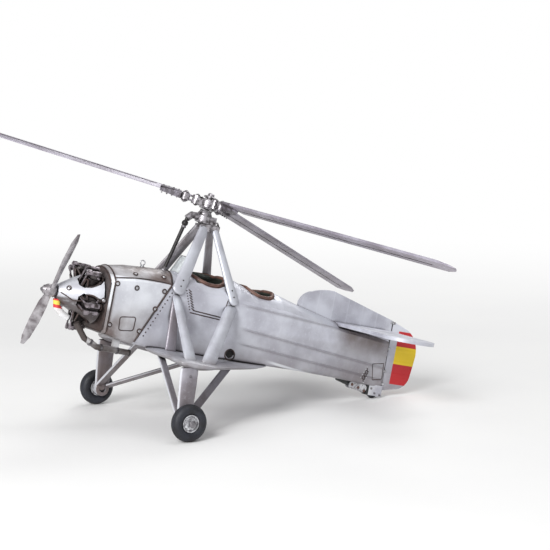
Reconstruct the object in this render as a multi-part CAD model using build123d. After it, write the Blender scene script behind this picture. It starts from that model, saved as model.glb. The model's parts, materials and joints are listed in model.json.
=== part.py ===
from build123d import *
import math
import os

# Scale model of a two-seat open-cockpit gyrocopter, in millimetres.
# The shapes are drawn in the fuselage frame: X forward along the thrust line,
# Y to port, Z up, with the origin on the ground under the main axle.
# The whole model is then turned nose up by PITCH, so that it stands on its gear.

# Fuselage
RING_X = 32.3
BODY_LENGTH = 149.3
HALF_WIDTH = 13.4
THRUST_Z = 50.0
CORNER = 1.6
BAND_WIDTH = 1.8
BAND_PROUD = 0.3
STEP_HOLE_RADIUS = 2.1
STEP_HOLE_DEPTH = 1.4
TAIL_END_X = RING_X - BODY_LENGTH

# Cockpits
RIM_WIDTH = 1.0
RIM_PROUD = 0.8
PANEL_THICKNESS = 0.8

# Nose and engine
NOSE_GAP = 1.2
NOSE_LENGTH = 17.1
NOSE_RADIUS = 11.3
NOSE_MIDDLE_RADIUS = 7.7
NOSE_TIP_RADIUS = 2.9
NOSE_WALL = 0.8
ENGINE_X = 38.2
CYLINDER_COUNT = 5
CRANKCASE_RADIUS = 5.0
HEAD_RADIUS = 15.1
HEAD_HEIGHT = 3.6
BARREL_RADIUS = 2.2
FIN_RADIUS = 3.1
FIN_DISC = 0.4
FIN_COUNT = 5
PORT_CLEARANCE = 0.6
PORT_EXTRA = 1.4
PUSHROD_RADIUS = 0.45
INTAKE_RADIUS = 1.5
EXHAUST_RADIUS = 1.3

# Propeller
PROP_X = 53.4
PROP_RADIUS = 31.5
PROP_TURN = 35.9
BOSS_RADIUS = 2.6
SHAFT_RADIUS = 0.90
RUNNING_FIT = 0.05

# Wheels and undercarriage
WHEEL_RADIUS = 7.9
WHEEL_WIDTH = 5.4
WHEEL_Y = 46.4
HUB_RADIUS = 3.7
AXLE_RADIUS = 0.95
CAP_RADIUS = 1.5
SIDE_CLEARANCE = 0.5
LEG_GAP = 1.0
LEG_CHORD = 6.8
LEG_THICKNESS = 2.8
BRACE_CHORD = 4.0
BRACE_THICKNESS = 1.6
LINK_CHORD = 3.4
LINK_THICKNESS = 1.4
WING_ROOT = (11.0, -49.0, 33.0, 4.2)
WING_TIP = (8.0, -10.0, 31.7, 4.2)

# Tail wheel
TAIL_WHEEL_RADIUS = 2.6
TAIL_WHEEL_WIDTH = 2.0
TAIL_AXLE_RADIUS = 0.45
TAIL_WHEEL_AHEAD = 2.7
TAIL_GROUND_Z = 24.85
CHEEK_THICKNESS = 0.9
CHEEK_GAP = 0.3

# Rotor and pylon
ROTOR_RADIUS = 176.2
ROTOR_X = -12.4
ROTOR_Z = 98.2
ROTOR_TILT = 8.6
BLADE_CHORD = 8.2
BLADE_THICKNESS = 1.5
BLADE_PITCH = 13.3
BLADE_RISE = 0.95
BLADE_ROOT = 12.6
CUT_OUT_END = 22.0
FIRST_BLADE = -25.75
BLADE_DROOPS = (1.14, 1.99, 3.04)
SPINDLE_RADIUS = 1.20
HUB_BOTTOM = -2.7
HUB_TOP = 1.5
HINGE_REACH = 5.4
DRAG_REACH = 10.6
HINGE_PIN_RADIUS = 1.5
PYLON_CHORD = 4.0
PYLON_THICKNESS = 1.7
FOOT_RADIUS = 2.2
FOOT_THICKNESS = 1.2
DRIVE_RADIUS = 0.8

# Tail surfaces
FIN_THICKNESS = 2.0
HINGE_GAP = 0.8
TAIL_SPAN = 54.0
TAIL_Z = 56.0
TAILPLANE_THICKNESS = 1.6

TAIL_EDGE = 0.3
PITCH = math.degrees(math.atan2(TAIL_GROUND_Z, -(TAIL_END_X + TAIL_WHEEL_AHEAD)))

# Fuselage stations: share of the length from the ring aft, share of the half
# width, bottom height, side top height, crown height.
STATIONS = [
    (0.000, 0.86, 37.4, 57.8, 63.0),
    (0.016, 0.91, 36.2, 58.9, 64.4),
    (0.072, 0.98, 34.2, 60.1, 65.7),
    (0.153, 1.00, 33.2, 60.8, 66.4),
    (0.279, 1.00, 33.0, 60.4, 66.7),
    (0.421, 1.00, 33.0, 59.8, 67.2),
    (0.459, 1.00, 33.0, 59.4, 65.3),
    (0.488, 1.00, 33.0, 58.9, 64.7),
    (0.569, 0.96, 33.0, 58.4, 64.5),
    (0.663, 0.80, 32.8, 56.4, 60.9),
    (0.799, 0.54, 32.0, 53.2, 56.4),
    (1.000, 0.12, 30.2, 50.2, 52.0),
]

# Cockpit wells: middle, length, width, floor height, corner radius.
FRONT_WELL = (-16.8, 15.4, 19.0, 45.0, 7.0)
REAR_WELL = (-43.0, 12.6, 17.6, 45.0, 5.5)


def place(shape):
    return Rot(0, -PITCH, 0) * shape


def save(shape, node):
    export_step(place(shape), "parts/" + node + ".step")


def unit(v):
    size = math.sqrt(sum(c * c for c in v))
    return tuple(c / size for c in v)


def fairing(p, q, chord, thick, along=(1, 0, 0)):
    # A streamlined bar from p to q, its round nose towards "along".
    d = tuple(b - a for a, b in zip(p, q))
    n = unit(d)
    dot = sum(a * b for a, b in zip(n, along))
    x_dir = unit(tuple(a - dot * b for a, b in zip(along, n)))
    h = thick / 2
    front = chord / 2 - h
    back = -chord / 2
    outline = make_face(Wire([
        ThreePointArc((front, -h, 0), (front + h, 0, 0), (front, h, 0)),
        Line((front, h, 0), (back, TAIL_EDGE / 2, 0)),
        Line((back, TAIL_EDGE / 2, 0), (back, -TAIL_EDGE / 2, 0)),
        Line((back, -TAIL_EDGE / 2, 0), (front, -h, 0)),
    ]))
    plane = Plane(origin=p, x_dir=x_dir, z_dir=n)
    return extrude(plane * outline, amount=math.dist(p, q))


def tube(points, radius):
    body = None
    for p, q in zip(points[:-1], points[1:]):
        d = tuple(b - a for a, b in zip(p, q))
        plane = Plane(origin=p, z_dir=unit(d))
        piece = extrude(plane * Circle(radius), amount=math.dist(p, q))
        body = piece if body is None else body + piece
    for p in points[1:-1]:
        body = body + Pos(*p) * Sphere(radius)
    return body


def section(share, width, bottom, side, crown, grow=0.0):
    # One closed fuselage section: flat belly and sides, round corners, round deck.
    x = RING_X - share * BODY_LENGTH
    w = HALF_WIDTH * width + grow
    zb = bottom - grow
    zt = crown + grow
    r = min(CORNER, w * 0.5)
    k = r * (1 - math.sqrt(0.5))
    edges = [
        Line((x, -w + r, zb), (x, w - r, zb)),
        ThreePointArc((x, w - r, zb), (x, w - k, zb + k), (x, w, zb + r)),
        Line((x, w, zb + r), (x, w, side)),
        ThreePointArc((x, w, side), (x, 0, zt), (x, -w, side)),
        Line((x, -w, side), (x, -w, zb + r)),
        ThreePointArc((x, -w, zb + r), (x, -w + k, zb + k), (x, -w + r, zb)),
    ]
    return Face(Wire(edges))


def hull(grow=0.0):
    return loft([section(*row, grow=grow) for row in STATIONS], ruled=True)


def on_thrust_line(shape):
    # Turns a shape drawn round Z so that its axis lies forward on the thrust line.
    return Pos(0, 0, THRUST_Z) * Rot(0, 90, 0) * shape


def turned(points):
    # Solid of revolution round Z from (radius, height) corners.
    return revolve(make_face(Polyline(*[(r, 0, z) for r, z in points], close=True)), Axis.Z)


def disc_y(x, y, z, radius, thick):
    # A disc whose axis lies across the model.
    return Pos(x, y, z) * Rot(90, 0, 0) * Cylinder(radius, thick)


# Fuselage, main cowl and cockpits.

def well(x, length, width, floor, corner, grow=0.0, height=40.0):
    base = RectangleRounded(length + grow, width + grow, corner + grow / 2)
    base = Pos(x, 0, floor) * base
    return extrude(base, amount=height)


def build_fuselage():
    body = hull()
    skin = hull(RIM_PROUD)
    slope = math.degrees(math.atan2(17.2 - 4.4, 61.0 - 34.7))
    region = Pos(4.4, 0, 61.0) * Rot(0, -slope, 0) * Pos(100, 0, 0) * Box(200, 80, 200)
    band = hull(BAND_PROUD) & Pos(RING_X - BAND_WIDTH / 2, 0, THRUST_Z) * Box(BAND_WIDTH, 80, 80)
    cowl = (body & region) + band
    rear = body - region
    for row in (FRONT_WELL, REAR_WELL):
        rear = rear - well(*row)
    for side in (-1, 1):
        spot = disc_y(-29.4, side * HALF_WIDTH, 36.2, STEP_HOLE_RADIUS, 2 * STEP_HOLE_DEPTH)
        rear = rear - spot
    save(cowl, "cowl_main")
    save(rear, "fuselage")
    rims = []
    for row, name in ((FRONT_WELL, "front"), (REAR_WELL, "rear")):
        rims.append((well(*row, grow=2 * RIM_WIDTH) & skin) - well(*row) - body)
        save(rims[-1], "coaming_" + name)
        build_fittings(row, name, body)
    build_windscreen(body, rims[0])
    return body


def build_fittings(row, name, body):
    # Seat and instrument panel of one cockpit.
    x, length, width, floor, corner = row
    x_back = x - length / 2 + 1.8
    pan = Pos(x_back + 3.6, 0, floor + 2.4) * Box(7.2, width - 7.0, 4.8)
    back = Pos(x_back + 0.8, 0, floor + 6.5) * Box(1.6, width - 8.0, 13.0)
    save(pan + back, "seat_" + name)
    x_front = x + length / 2 - 1.4
    slab = Pos(x_front, 0, floor + 20.0) * Box(PANEL_THICKNESS, width, 24.0)
    save(slab & well(*row) & body, "panel_" + name)


def build_windscreen(body, coaming):
    # Three flat panes round the front of the first cockpit, leaning back.
    outer = [(-5.0, -7.2), (0.0, -4.4), (0.0, 4.4), (-5.0, 7.2)]
    inner = [(-5.4, 6.8), (-0.5, 4.1), (-0.5, -4.1), (-5.4, -6.8)]
    panes = make_face(Polyline(*outer, *inner, close=True))
    screen = Pos(-2.6, 0, 67.3) * Rot(0, -28, 0) * Pos(0, 0, -8.0) * extrude(panes, amount=15.5)
    save(screen - body - coaming, "windscreen")


# Nose cowl and radial engine.

def nose_solid(wall=0.0):
    # Bullet shape round Z: one arc from the open rear edge to the flat tip.
    base = RING_X + NOSE_GAP
    tip = base + NOSE_LENGTH - wall
    middle = (base + tip) / 2
    if wall:
        base = base - 1.0
    outline = make_face(Wire([
        Line((0, 0, base), (NOSE_RADIUS - wall, 0, base)),
        ThreePointArc((NOSE_RADIUS - wall, 0, base), (NOSE_MIDDLE_RADIUS - wall, 0, middle),
                      (NOSE_TIP_RADIUS - wall, 0, tip)),
        Line((NOSE_TIP_RADIUS - wall, 0, tip), (0, 0, tip)),
        Line((0, 0, tip), (0, 0, base)),
    ]))
    return revolve(outline, Axis.Z)


def build_engine():
    solid = nose_solid()
    cowl = solid - nose_solid(NOSE_WALL)
    cowl = cowl - Pos(0, 0, ENGINE_X) * Cylinder(SHAFT_RADIUS + RUNNING_FIT, 60)
    step = 360.0 / CYLINDER_COUNT
    a = FIN_RADIUS + PORT_CLEARANCE
    b = a + PORT_EXTRA
    outline = make_face(Polyline(
        (b, -a / 2), (b, a / 2), (b - a / 2, a), (a / 2 - b, a), (-b, a / 2), (-b, -a / 2),
        (a / 2 - b, -a), (b - a / 2, -a), close=True))
    for i in range(CYLINDER_COUNT):
        port = extrude(outline, amount=NOSE_RADIUS + 4)
        cowl = cowl - Pos(0, 0, ENGINE_X) * Rot(0, 0, i * step) * Rot(0, 90, 0) * port
    save(on_thrust_line(cowl), "nose_cowl")
    tip = RING_X + NOSE_GAP + NOSE_LENGTH
    # The crankcase is a prism with one flat for each cylinder, and a cone in front.
    corner = CRANKCASE_RADIUS / math.cos(math.radians(step / 2))
    front = ENGINE_X + FIN_RADIUS + 2 * PUSHROD_RADIUS + 0.6
    block = RegularPolygon(corner, CYLINDER_COUNT, rotation=step / 2)
    case = Pos(0, 0, RING_X) * extrude(block, amount=front - RING_X)
    case = case + turned([
        (0, front - 1.0), (CRANKCASE_RADIUS - 1.0, front - 1.0), (CRANKCASE_RADIUS - 1.0, front),
        (SHAFT_RADIUS + 1.2, front + 3.0), (SHAFT_RADIUS + 1.2, tip - NOSE_WALL),
        (SHAFT_RADIUS, tip - NOSE_WALL), (SHAFT_RADIUS, PROP_X + 1.6), (0, PROP_X + 1.6),
    ])
    save(on_thrust_line(case), "crankcase")
    for i in range(CYLINDER_COUNT):
        turn = i * step + 180.0
        swung = Pos(ENGINE_X, 0, THRUST_Z) * Rot(turn, 0, 0) * air_cooled_cylinder()
        save(swung, "cylinder_%d" % (i + 1))
    pipe = tube([(49.7, 0, 47.0), (49.0, 0, 43.6), (46.2, 0, 41.0), (43.2, 0, 39.6)], INTAKE_RADIUS)
    save(pipe - on_thrust_line(solid), "intake_pipe")


def air_cooled_cylinder():
    # Drawn along +Z from the crankcase axis, its pushrods on the +X side.
    top = HEAD_RADIUS - HEAD_HEIGHT
    start = CRANKCASE_RADIUS + 0.9
    pitch = (top - start) / FIN_COUNT
    comb = [(0, CRANKCASE_RADIUS), (BARREL_RADIUS, CRANKCASE_RADIUS)]
    for j in range(FIN_COUNT):
        z = start + j * pitch
        comb += [(BARREL_RADIUS, z), (FIN_RADIUS, z), (FIN_RADIUS, z + FIN_DISC),
                 (BARREL_RADIUS, z + FIN_DISC)]
    comb += [(BARREL_RADIUS, top), (0, top)]
    body = turned(comb)
    body = body + Pos(0, 0, top + 0.8) * Box(4.8, 5.4, 1.6)
    rod_x = FIN_RADIUS + PUSHROD_RADIUS + 0.3
    for side in (-1, 1):
        rocker = Pos(rod_x + 0.6 - 3.4, 1.6 * side, top + 2.3) * Box(6.8, 1.8, HEAD_HEIGHT - 2.0)
        foot = CRANKCASE_RADIUS
        rod = Pos(rod_x, 1.6 * side, (foot + top + 2.0) / 2) * Cylinder(PUSHROD_RADIUS, top + 2.0 - foot)
        body = body + rocker + rod
    return body


def build_exhaust(body):
    pipe = tube([(41.6, 6.0, 38.6), (36.7, 6.0, 32.8), (30.5, 6.4, 29.9), (15.0, 6.4, 29.4)],
                EXHAUST_RADIUS)
    bracket = Pos(22.0, 6.4, 32.6) * Box(3.0, 1.4, 6.0)
    save((pipe + bracket) - body, "exhaust")


def build_propeller():
    # Blade stations: share of the radius, chord, thickness, twist from the disc.
    rows = [(0.05, 2.6, 2.2, 62.0), (0.25, 4.4, 1.6, 46.0), (0.57, 4.6, 1.1, 28.0),
            (0.86, 3.6, 0.8, 20.0), (1.00, 1.4, 0.4, 17.0)]
    blades = None
    for turn in (0, 180):
        faces = []
        for share, chord, thick, twist in rows:
            h = thick / 2
            leaf = make_face(Wire([
                ThreePointArc((-chord / 2, 0, 0), (0, -h * 0.4, 0), (chord / 2, 0, 0)),
                ThreePointArc((chord / 2, 0, 0), (0, h * 1.6, 0), (-chord / 2, 0, 0)),
            ]))
            plane = Plane(origin=(0, 0, share * PROP_RADIUS), x_dir=(0, 1, 0), z_dir=(0, 0, 1))
            faces.append(plane * Rot(0, 0, -(90 - twist)) * leaf)
        blade = Rot(turn, 0, 0) * loft(faces, ruled=True)
        blades = blade if blades is None else blades + blade
    boss = Rot(0, 90, 0) * turned([
        (0, -1.9), (BOSS_RADIUS - 0.3, -1.9), (BOSS_RADIUS, -1.4), (BOSS_RADIUS, 1.2),
        (1.9, 2.6), (1.0, 3.6), (0, 3.8),
    ])
    bore = Pos(-0.1, 0, 0) * Rot(0, 90, 0) * Cylinder(SHAFT_RADIUS + RUNNING_FIT, 4.0)
    prop = blades + boss - bore
    save(Pos(PROP_X, 0, THRUST_Z) * Rot(-PROP_TURN, 0, 0) * prop, "propeller")


# Rotor head, rotor and pylon.

def rotor_frame(shape):
    return Pos(ROTOR_X, 0, ROTOR_Z) * Rot(0, -ROTOR_TILT, 0) * shape


def build_head():
    post = turned([
        (0, -9.0), (3.2, -9.0), (3.2, -5.0), (2.4, -3.6), (2.4, HUB_BOTTOM - 0.4),
        (SPINDLE_RADIUS, HUB_BOTTOM - 0.4), (SPINDLE_RADIUS, HUB_TOP + 0.3),
        (2.0, HUB_TOP + 0.3), (2.0, HUB_TOP + 0.9), (1.2, HUB_TOP + 1.5), (0, HUB_TOP + 1.5),
    ])
    head = rotor_frame(post)
    head = head + Pos(ROTOR_X - 1.6, 0, ROTOR_Z - 10.2) * Box(9.0, 6.4, 2.0)
    head = head + Pos(ROTOR_X - 1.4, 0, ROTOR_Z - 7.6) * Box(5.6, 5.0, 4.0)
    arm = [(ROTOR_X, 0, ROTOR_Z - 6.2), (ROTOR_X + 7.0, 0, ROTOR_Z - 6.2),
           (ROTOR_X + 9.0, 0, ROTOR_Z - 8.0)]
    return head + tube(arm, 1.5)


def build_pylon(body, head, outriggers):
    save(head, "rotor_head")
    top = (ROTOR_X + 8.9, 0, ROTOR_Z - 8.0)
    knuckle = (ROTOR_X + 9.5, 0, ROTOR_Z - 10.2)
    foot = (3.0, 0, 66.0)
    shaft = tube([top, knuckle, foot], DRIVE_RADIUS) + Pos(*knuckle) * Sphere(1.4)
    save(shaft - head - body, "drive_shaft")
    # Legs: foot place, foot height, top ahead of the rotor axis, top below it.
    rows = [(1.2, 59.9, 0.8, 11.4, "front"), (-26.3, 59.0, -4.2, 12.0, "rear")]
    for x, z, ahead, below, name in rows:
        for side, tag in ((1, "left"), (-1, "right")):
            foot = (x, side * (HALF_WIDTH + FOOT_THICKNESS / 2), z)
            tip = (ROTOR_X + ahead, side * 2.2, ROTOR_Z - below + 0.8)
            leg = fairing(foot, tip, PYLON_CHORD, PYLON_THICKNESS)
            pad = disc_y(*foot, FOOT_RADIUS, FOOT_THICKNESS)
            save((leg + pad) - body - head - outriggers[tag], "pylon_%s_%s" % (name, tag))


def blade_section(r, chord, thick):
    # Closed blade section: round nose on the -Y side, fat quarter, thin tail.
    h = thick / 2
    nose = -chord * 0.4
    tail = chord * 0.6
    e = h * 0.25
    b = nose + h * 0.8
    edges = [
        ThreePointArc((r, b, h * 0.8), (r, nose, 0), (r, b, -h * 0.8)),
        Line((r, b, -h * 0.8), (r, 0, -h)),
        Line((r, 0, -h), (r, tail, -e)),
        Line((r, tail, -e), (r, tail, e)),
        Line((r, tail, e), (r, 0, h)),
        Line((r, 0, h), (r, b, h * 0.8)),
    ]
    return Face(Wire(edges))


def build_rotor():
    bore = SPINDLE_RADIUS + RUNNING_FIT
    hub = turned([(bore, HUB_BOTTOM), (3.4, HUB_BOTTOM), (4.1, HUB_BOTTOM + 0.8),
                  (4.1, HUB_TOP - 0.8), (3.4, HUB_TOP), (bore, HUB_TOP)])
    for i in range(3):
        turn = Rot(0, 0, FIRST_BLADE + 120 * i)
        block = Pos(HINGE_REACH / 2 + 1.0, 0, -0.4) * Box(HINGE_REACH - 2.0, 3.8, 2.8)
        pin = Pos(HINGE_REACH, 0, -0.2) * Cylinder(2.0, 3.8)
        hub = hub + turn * (block + pin - Pos(0, 0, -0.4) * Cylinder(3.0, 10))
    save(rotor_frame(hub), "rotor_hub")
    for i, droop in enumerate(BLADE_DROOPS):
        blade = Pos(HINGE_REACH, 0, 0) * Rot(0, droop, 0) * Pos(-HINGE_REACH, 0, 0) * rotor_blade()
        blade = blade - Pos(HINGE_REACH, 0, 0) * Cylinder(2.0, 10.0)
        save(rotor_frame(Rot(0, 0, FIRST_BLADE + 120 * i) * blade), "blade_%d" % (i + 1))


def rotor_blade():
    # Blade stations: reach, share of the chord, share of the thickness.
    rows = [(BLADE_ROOT, 0.80, 1.0), (BLADE_ROOT + 3.0, 1.0, 1.0), (ROTOR_RADIUS - 9.0, 1.0, 0.9),
            (ROTOR_RADIUS - 2.6, 0.60, 0.6), (ROTOR_RADIUS, 0.16, 0.3)]
    faces = [blade_section(r, BLADE_CHORD * c, BLADE_THICKNESS * t) for r, c, t in rows]
    blade = loft(faces, ruled=True)
    # The rear half of the blade starts further out, and a tapered fitting fills its place.
    reach = CUT_OUT_END - BLADE_ROOT
    blade = blade - Pos(BLADE_ROOT + reach / 2 - 1.0, 5.4, 0) * Box(reach + 2.0, 10.0, 10.0)
    box = loft([Pos(0, 0, BLADE_ROOT) * Rectangle(2.6, 3.4),
                Pos(0, 0, CUT_OUT_END) * Rectangle(1.4, 2.4)], ruled=True)
    blade = blade + Pos(0, 0.9, -0.9) * Rot(0, 90, 0) * box
    blade = Pos(0, 0, BLADE_RISE) * Rot(-BLADE_PITCH, 0, 0) * blade
    # Two link plates from the flapping hinge to the drag pin, and the root neck beyond it.
    for z in (-1.05, 0.85):
        plate = Pos((HINGE_REACH + DRAG_REACH) / 2, 0, z) * Box(DRAG_REACH - HINGE_REACH, 2.6, 0.7)
        blade = blade + plate
    blade = blade + Pos(DRAG_REACH, 0, -0.1) * Cylinder(HINGE_PIN_RADIUS, 3.8)
    neck = BLADE_ROOT + 1.5 - DRAG_REACH
    return blade + Pos(DRAG_REACH + neck / 2, 0, 0.1) * Box(neck, 2.0, 1.4)


# Undercarriage.

def axle_point():
    t = math.radians(PITCH)
    return WHEEL_RADIUS * math.sin(t), WHEEL_RADIUS * math.cos(t)


def lens(y, x_front, x_back, z, thick):
    # Streamlined plan section of an outrigger in the plane at y.
    length = x_front - x_back
    xm = x_front - 0.3 * length
    h = thick / 2
    b = x_front - h * 0.8
    edges = [
        ThreePointArc((b, y, z + h * 0.8), (x_front, y, z), (b, y, z - h * 0.8)),
        Line((b, y, z - h * 0.8), (xm, y, z - h)),
        Line((xm, y, z - h), (x_back, y, z - 0.3)),
        Line((x_back, y, z - 0.3), (x_back, y, z + 0.3)),
        Line((x_back, y, z + 0.3), (xm, y, z + h)),
        Line((xm, y, z + h), (b, y, z + h * 0.8)),
    ]
    return Face(Wire(edges))


def build_gear(body):
    ax, az = axle_point()
    leg_y = WHEEL_Y - WHEEL_WIDTH / 2 - LEG_GAP - LEG_THICKNESS / 2
    inner = leg_y - LEG_THICKNESS / 2 + 0.4
    z_tip = WING_TIP[2]
    outriggers = {}
    for side, tag in ((1, "left"), (-1, "right")):
        wing = loft([lens(side * (HALF_WIDTH - 1.0), *WING_ROOT), lens(side * leg_y, *WING_TIP)],
                    ruled=True)
        root = side * (HALF_WIDTH - 0.4)
        tip = side * (leg_y - 2.6)
        front = fairing((1.2, root, 56.6), (1.6, tip, z_tip + 1.1), BRACE_CHORD, BRACE_THICKNESS)
        rear = fairing((-26.3, root, 55.8), (-7.0, tip, z_tip + 0.6), BRACE_CHORD, BRACE_THICKNESS)
        outrigger = (wing + front + rear) - body
        leg = fairing((ax, side * leg_y, az), (3.6, side * leg_y, z_tip), LEG_CHORD, LEG_THICKNESS)
        leg = leg + disc_y(ax, side * leg_y, az, LEG_CHORD / 2, LEG_THICKNESS)
        leg = leg - outrigger
        outer = WHEEL_Y + WHEEL_WIDTH / 2
        axle = disc_y(ax, side * (leg_y + outer + 0.6) / 2, az, AXLE_RADIUS, outer + 0.6 - leg_y)
        cap = disc_y(ax, side * (outer + SIDE_CLEARANCE + 0.2), az, CAP_RADIUS, 0.8)
        leg = leg + axle + cap
        outriggers[tag] = outrigger
        save(outrigger, "outrigger_" + tag)
        save(leg, "oleo_" + tag)
        # V struts from the belly to the front and rear edges of the leg's foot.
        fore = fairing((3.0, side * 9.0, 34.0), (ax + 2.0, side * inner, az + 1.5),
                       LINK_CHORD, LINK_THICKNESS)
        aft = fairing((-36.0, side * 7.0, 34.4), (ax - 2.2, side * inner, az + 1.5),
                      LINK_CHORD, LINK_THICKNESS)
        save(fore - body - leg - outrigger, "fore_strut_" + tag)
        save(aft - body - leg - outrigger - fore, "aft_strut_" + tag)
        build_wheel(ax, side * WHEEL_Y, az, tag)
    return outriggers


def build_wheel(x, y, z, tag):
    half = WHEEL_WIDTH / 2
    bore = AXLE_RADIUS + RUNNING_FIT
    hub = Rot(90, 0, 0) * turned([
        (bore, -half + 0.2), (1.6, -half + 0.2), (2.0, -half + 0.7), (HUB_RADIUS - 0.5, -half + 1.0),
        (HUB_RADIUS, -half + 1.5), (HUB_RADIUS, half - 1.5), (HUB_RADIUS - 0.5, half - 1.0),
        (2.0, half - 0.7), (1.6, half - 0.2), (bore, half - 0.2),
    ])
    crown = WHEEL_RADIUS - HUB_RADIUS
    profile = make_face(Wire([
        Line((HUB_RADIUS, 0, -half + 1.4), (HUB_RADIUS + crown * 0.3, 0, -half)),
        ThreePointArc((HUB_RADIUS + crown * 0.3, 0, -half), (WHEEL_RADIUS, 0, 0),
                      (HUB_RADIUS + crown * 0.3, 0, half)),
        Line((HUB_RADIUS + crown * 0.3, 0, half), (HUB_RADIUS, 0, half - 1.4)),
        Line((HUB_RADIUS, 0, half - 1.4), (HUB_RADIUS, 0, -half + 1.4)),
    ]))
    tyre = Rot(90, 0, 0) * revolve(profile, Axis.Z)
    save(Pos(x, y, z) * hub, "hub_" + tag)
    save(Pos(x, y, z) * tyre, "tyre_" + tag)


# Tail.

def build_tail(body):
    half = FIN_THICKNESS / 2
    hinge = TAIL_END_X
    outline = make_face(Wire([
        Line((hinge + 51.0, 0, 55.0), (hinge + 50.6, 0, 63.0)),
        ThreePointArc((hinge + 50.6, 0, 63.0), (hinge + 48.6, 0, 66.3), (hinge + 44.3, 0, 68.4)),
        ThreePointArc((hinge + 44.3, 0, 68.4), (hinge + 39.2, 0, 69.8), (hinge + 33.8, 0, 70.2)),
        Line((hinge + 33.8, 0, 70.2), (hinge, 0, 61.5)),
        Line((hinge, 0, 61.5), (hinge, 0, 48.0)),
        Line((hinge, 0, 48.0), (hinge + 51.0, 0, 55.0)),
    ]))
    fin = extrude(outline, amount=half, both=True) - body
    save(fin, "fin")
    front = hinge - HINGE_GAP
    outline = make_face(Wire([
        Line((front, 0, 61.2), (hinge - 9.4, 0, 58.2)),
        ThreePointArc((hinge - 9.4, 0, 58.2), (hinge - 14.4, 0, 53.4), (hinge - 16.0, 0, 46.0)),
        Line((hinge - 16.0, 0, 46.0), (hinge - 15.0, 0, 37.0)),
        ThreePointArc((hinge - 15.0, 0, 37.0), (hinge - 12.6, 0, 32.4), (hinge - 8.0, 0, 30.4)),
        Line((hinge - 8.0, 0, 30.4), (front, 0, 29.0)),
        Line((front, 0, 29.0), (front, 0, 61.2)),
    ]))
    rudder = extrude(outline, amount=half * 0.8, both=True)
    for z in (34.0, 46.0, 56.0):
        rudder = rudder + Pos(hinge - HINGE_GAP + 0.2, 0, z) * Box(2 * HINGE_GAP, 1.4, 1.6)
    save(rudder - body - fin, "rudder")
    for side, tag in ((1, "left"), (-1, "right")):
        y0 = side * half
        y1 = side * (TAIL_SPAN - 8.0)
        y2 = side * (TAIL_SPAN - 12.0)
        plan = make_face(Wire([
            Line((hinge + 31.0, y0, 0), (hinge + 30.0, y1, 0)),
            ThreePointArc((hinge + 30.0, y1, 0), (hinge + 26.0, side * (TAIL_SPAN - 2.0), 0),
                          (hinge + 19.0, side * TAIL_SPAN, 0)),
            ThreePointArc((hinge + 19.0, side * TAIL_SPAN, 0),
                          (hinge + 10.0, side * (TAIL_SPAN - 3.0), 0), (hinge + 5.0, y2, 0)),
            Line((hinge + 5.0, y2, 0), (hinge + 3.0, y0, 0)),
            Line((hinge + 3.0, y0, 0), (hinge + 31.0, y0, 0)),
        ]))
        plane = Pos(0, 0, TAIL_Z) * extrude(plan, amount=TAILPLANE_THICKNESS / 2, both=True)
        save(plane - body - fin, "tailplane_" + tag)
    build_tail_wheel(body, rudder)


def build_tail_wheel(body, rudder):
    t = math.radians(PITCH)
    wx = TAIL_END_X + TAIL_WHEEL_AHEAD + TAIL_WHEEL_RADIUS * math.sin(t)
    wz = TAIL_GROUND_Z + TAIL_WHEEL_RADIUS * math.cos(t)
    cheek_y = TAIL_WHEEL_WIDTH / 2 + CHEEK_GAP + CHEEK_THICKNESS / 2
    crown_x = wx + TAIL_WHEEL_RADIUS + 1.0
    fork = disc_y(wx, 0, wz, TAIL_AXLE_RADIUS, 2 * cheek_y)
    for side in (-1, 1):
        fork = fork + Pos(wx - 0.1, side * cheek_y, wz + 1.3) * Box(7.4, CHEEK_THICKNESS, 5.0)
    fork = fork + Pos(crown_x, 0, wz + 1.3) * Box(1.4, 2 * cheek_y, 5.0)
    web = make_face(Polyline(
        (crown_x + 0.4, 0, wz + 3.8), (crown_x + 0.4, 0, wz - 1.0), (wx + 20.0, 0, wz + 3.2),
        (wx + 21.0, 0, wz + 5.2), close=True))
    fork = fork + extrude(web, amount=0.9, both=True)
    fork = fork - body - rudder
    save(fork, "tail_fork")
    # Side links of the tail wheel arm, one flat eye bar either side of the web.
    bar = extrude(SlotOverall(9.6, 3.6), amount=0.5, both=True)
    bars = None
    for side in (-1, 1):
        one = Pos(wx + 9.2, side * 1.4, wz + 1.9) * Rot(0, -7.0, 0) * Rot(90, 0, 0) * bar
        bars = one if bars is None else bars + one
    save(bars - body - fork, "tail_link")
    wheel = disc_y(0, 0, 0, TAIL_WHEEL_RADIUS - 0.7, TAIL_WHEEL_WIDTH) + Rot(90, 0, 0) * turned([
        (0, -TAIL_WHEEL_WIDTH / 2 + 0.3), (TAIL_WHEEL_RADIUS - 0.3, -TAIL_WHEEL_WIDTH / 2 + 0.3),
        (TAIL_WHEEL_RADIUS, 0), (TAIL_WHEEL_RADIUS - 0.3, TAIL_WHEEL_WIDTH / 2 - 0.3),
        (0, TAIL_WHEEL_WIDTH / 2 - 0.3),
    ])
    wheel = wheel - disc_y(0, 0, 0, TAIL_AXLE_RADIUS + RUNNING_FIT, 10)
    save(Pos(wx, 0, wz) * wheel, "tail_wheel")


def main():
    os.makedirs("parts", exist_ok=True)
    body = build_fuselage()
    build_engine()
    build_exhaust(body)
    build_propeller()
    head = build_head()
    build_rotor()
    outriggers = build_gear(body)
    build_pylon(body, head, outriggers)
    build_tail(body)


main()
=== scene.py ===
"""Looks of a small painted metal gyrocopter model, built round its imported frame.

The model stands nose up on its three wheels. Most sizes below are in millimetres in the fuselage frame,
with X forward along the thrust line, Y to port and Z up, and the origin on the ground under the main axle.
"""

from __future__ import annotations

import json
import logging
import math
from dataclasses import dataclass, field
from enum import Enum
from functools import reduce
from typing import Sequence

import bpy
from mathutils import Matrix, Vector
from mathutils.bvhtree import BVHTree

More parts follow.
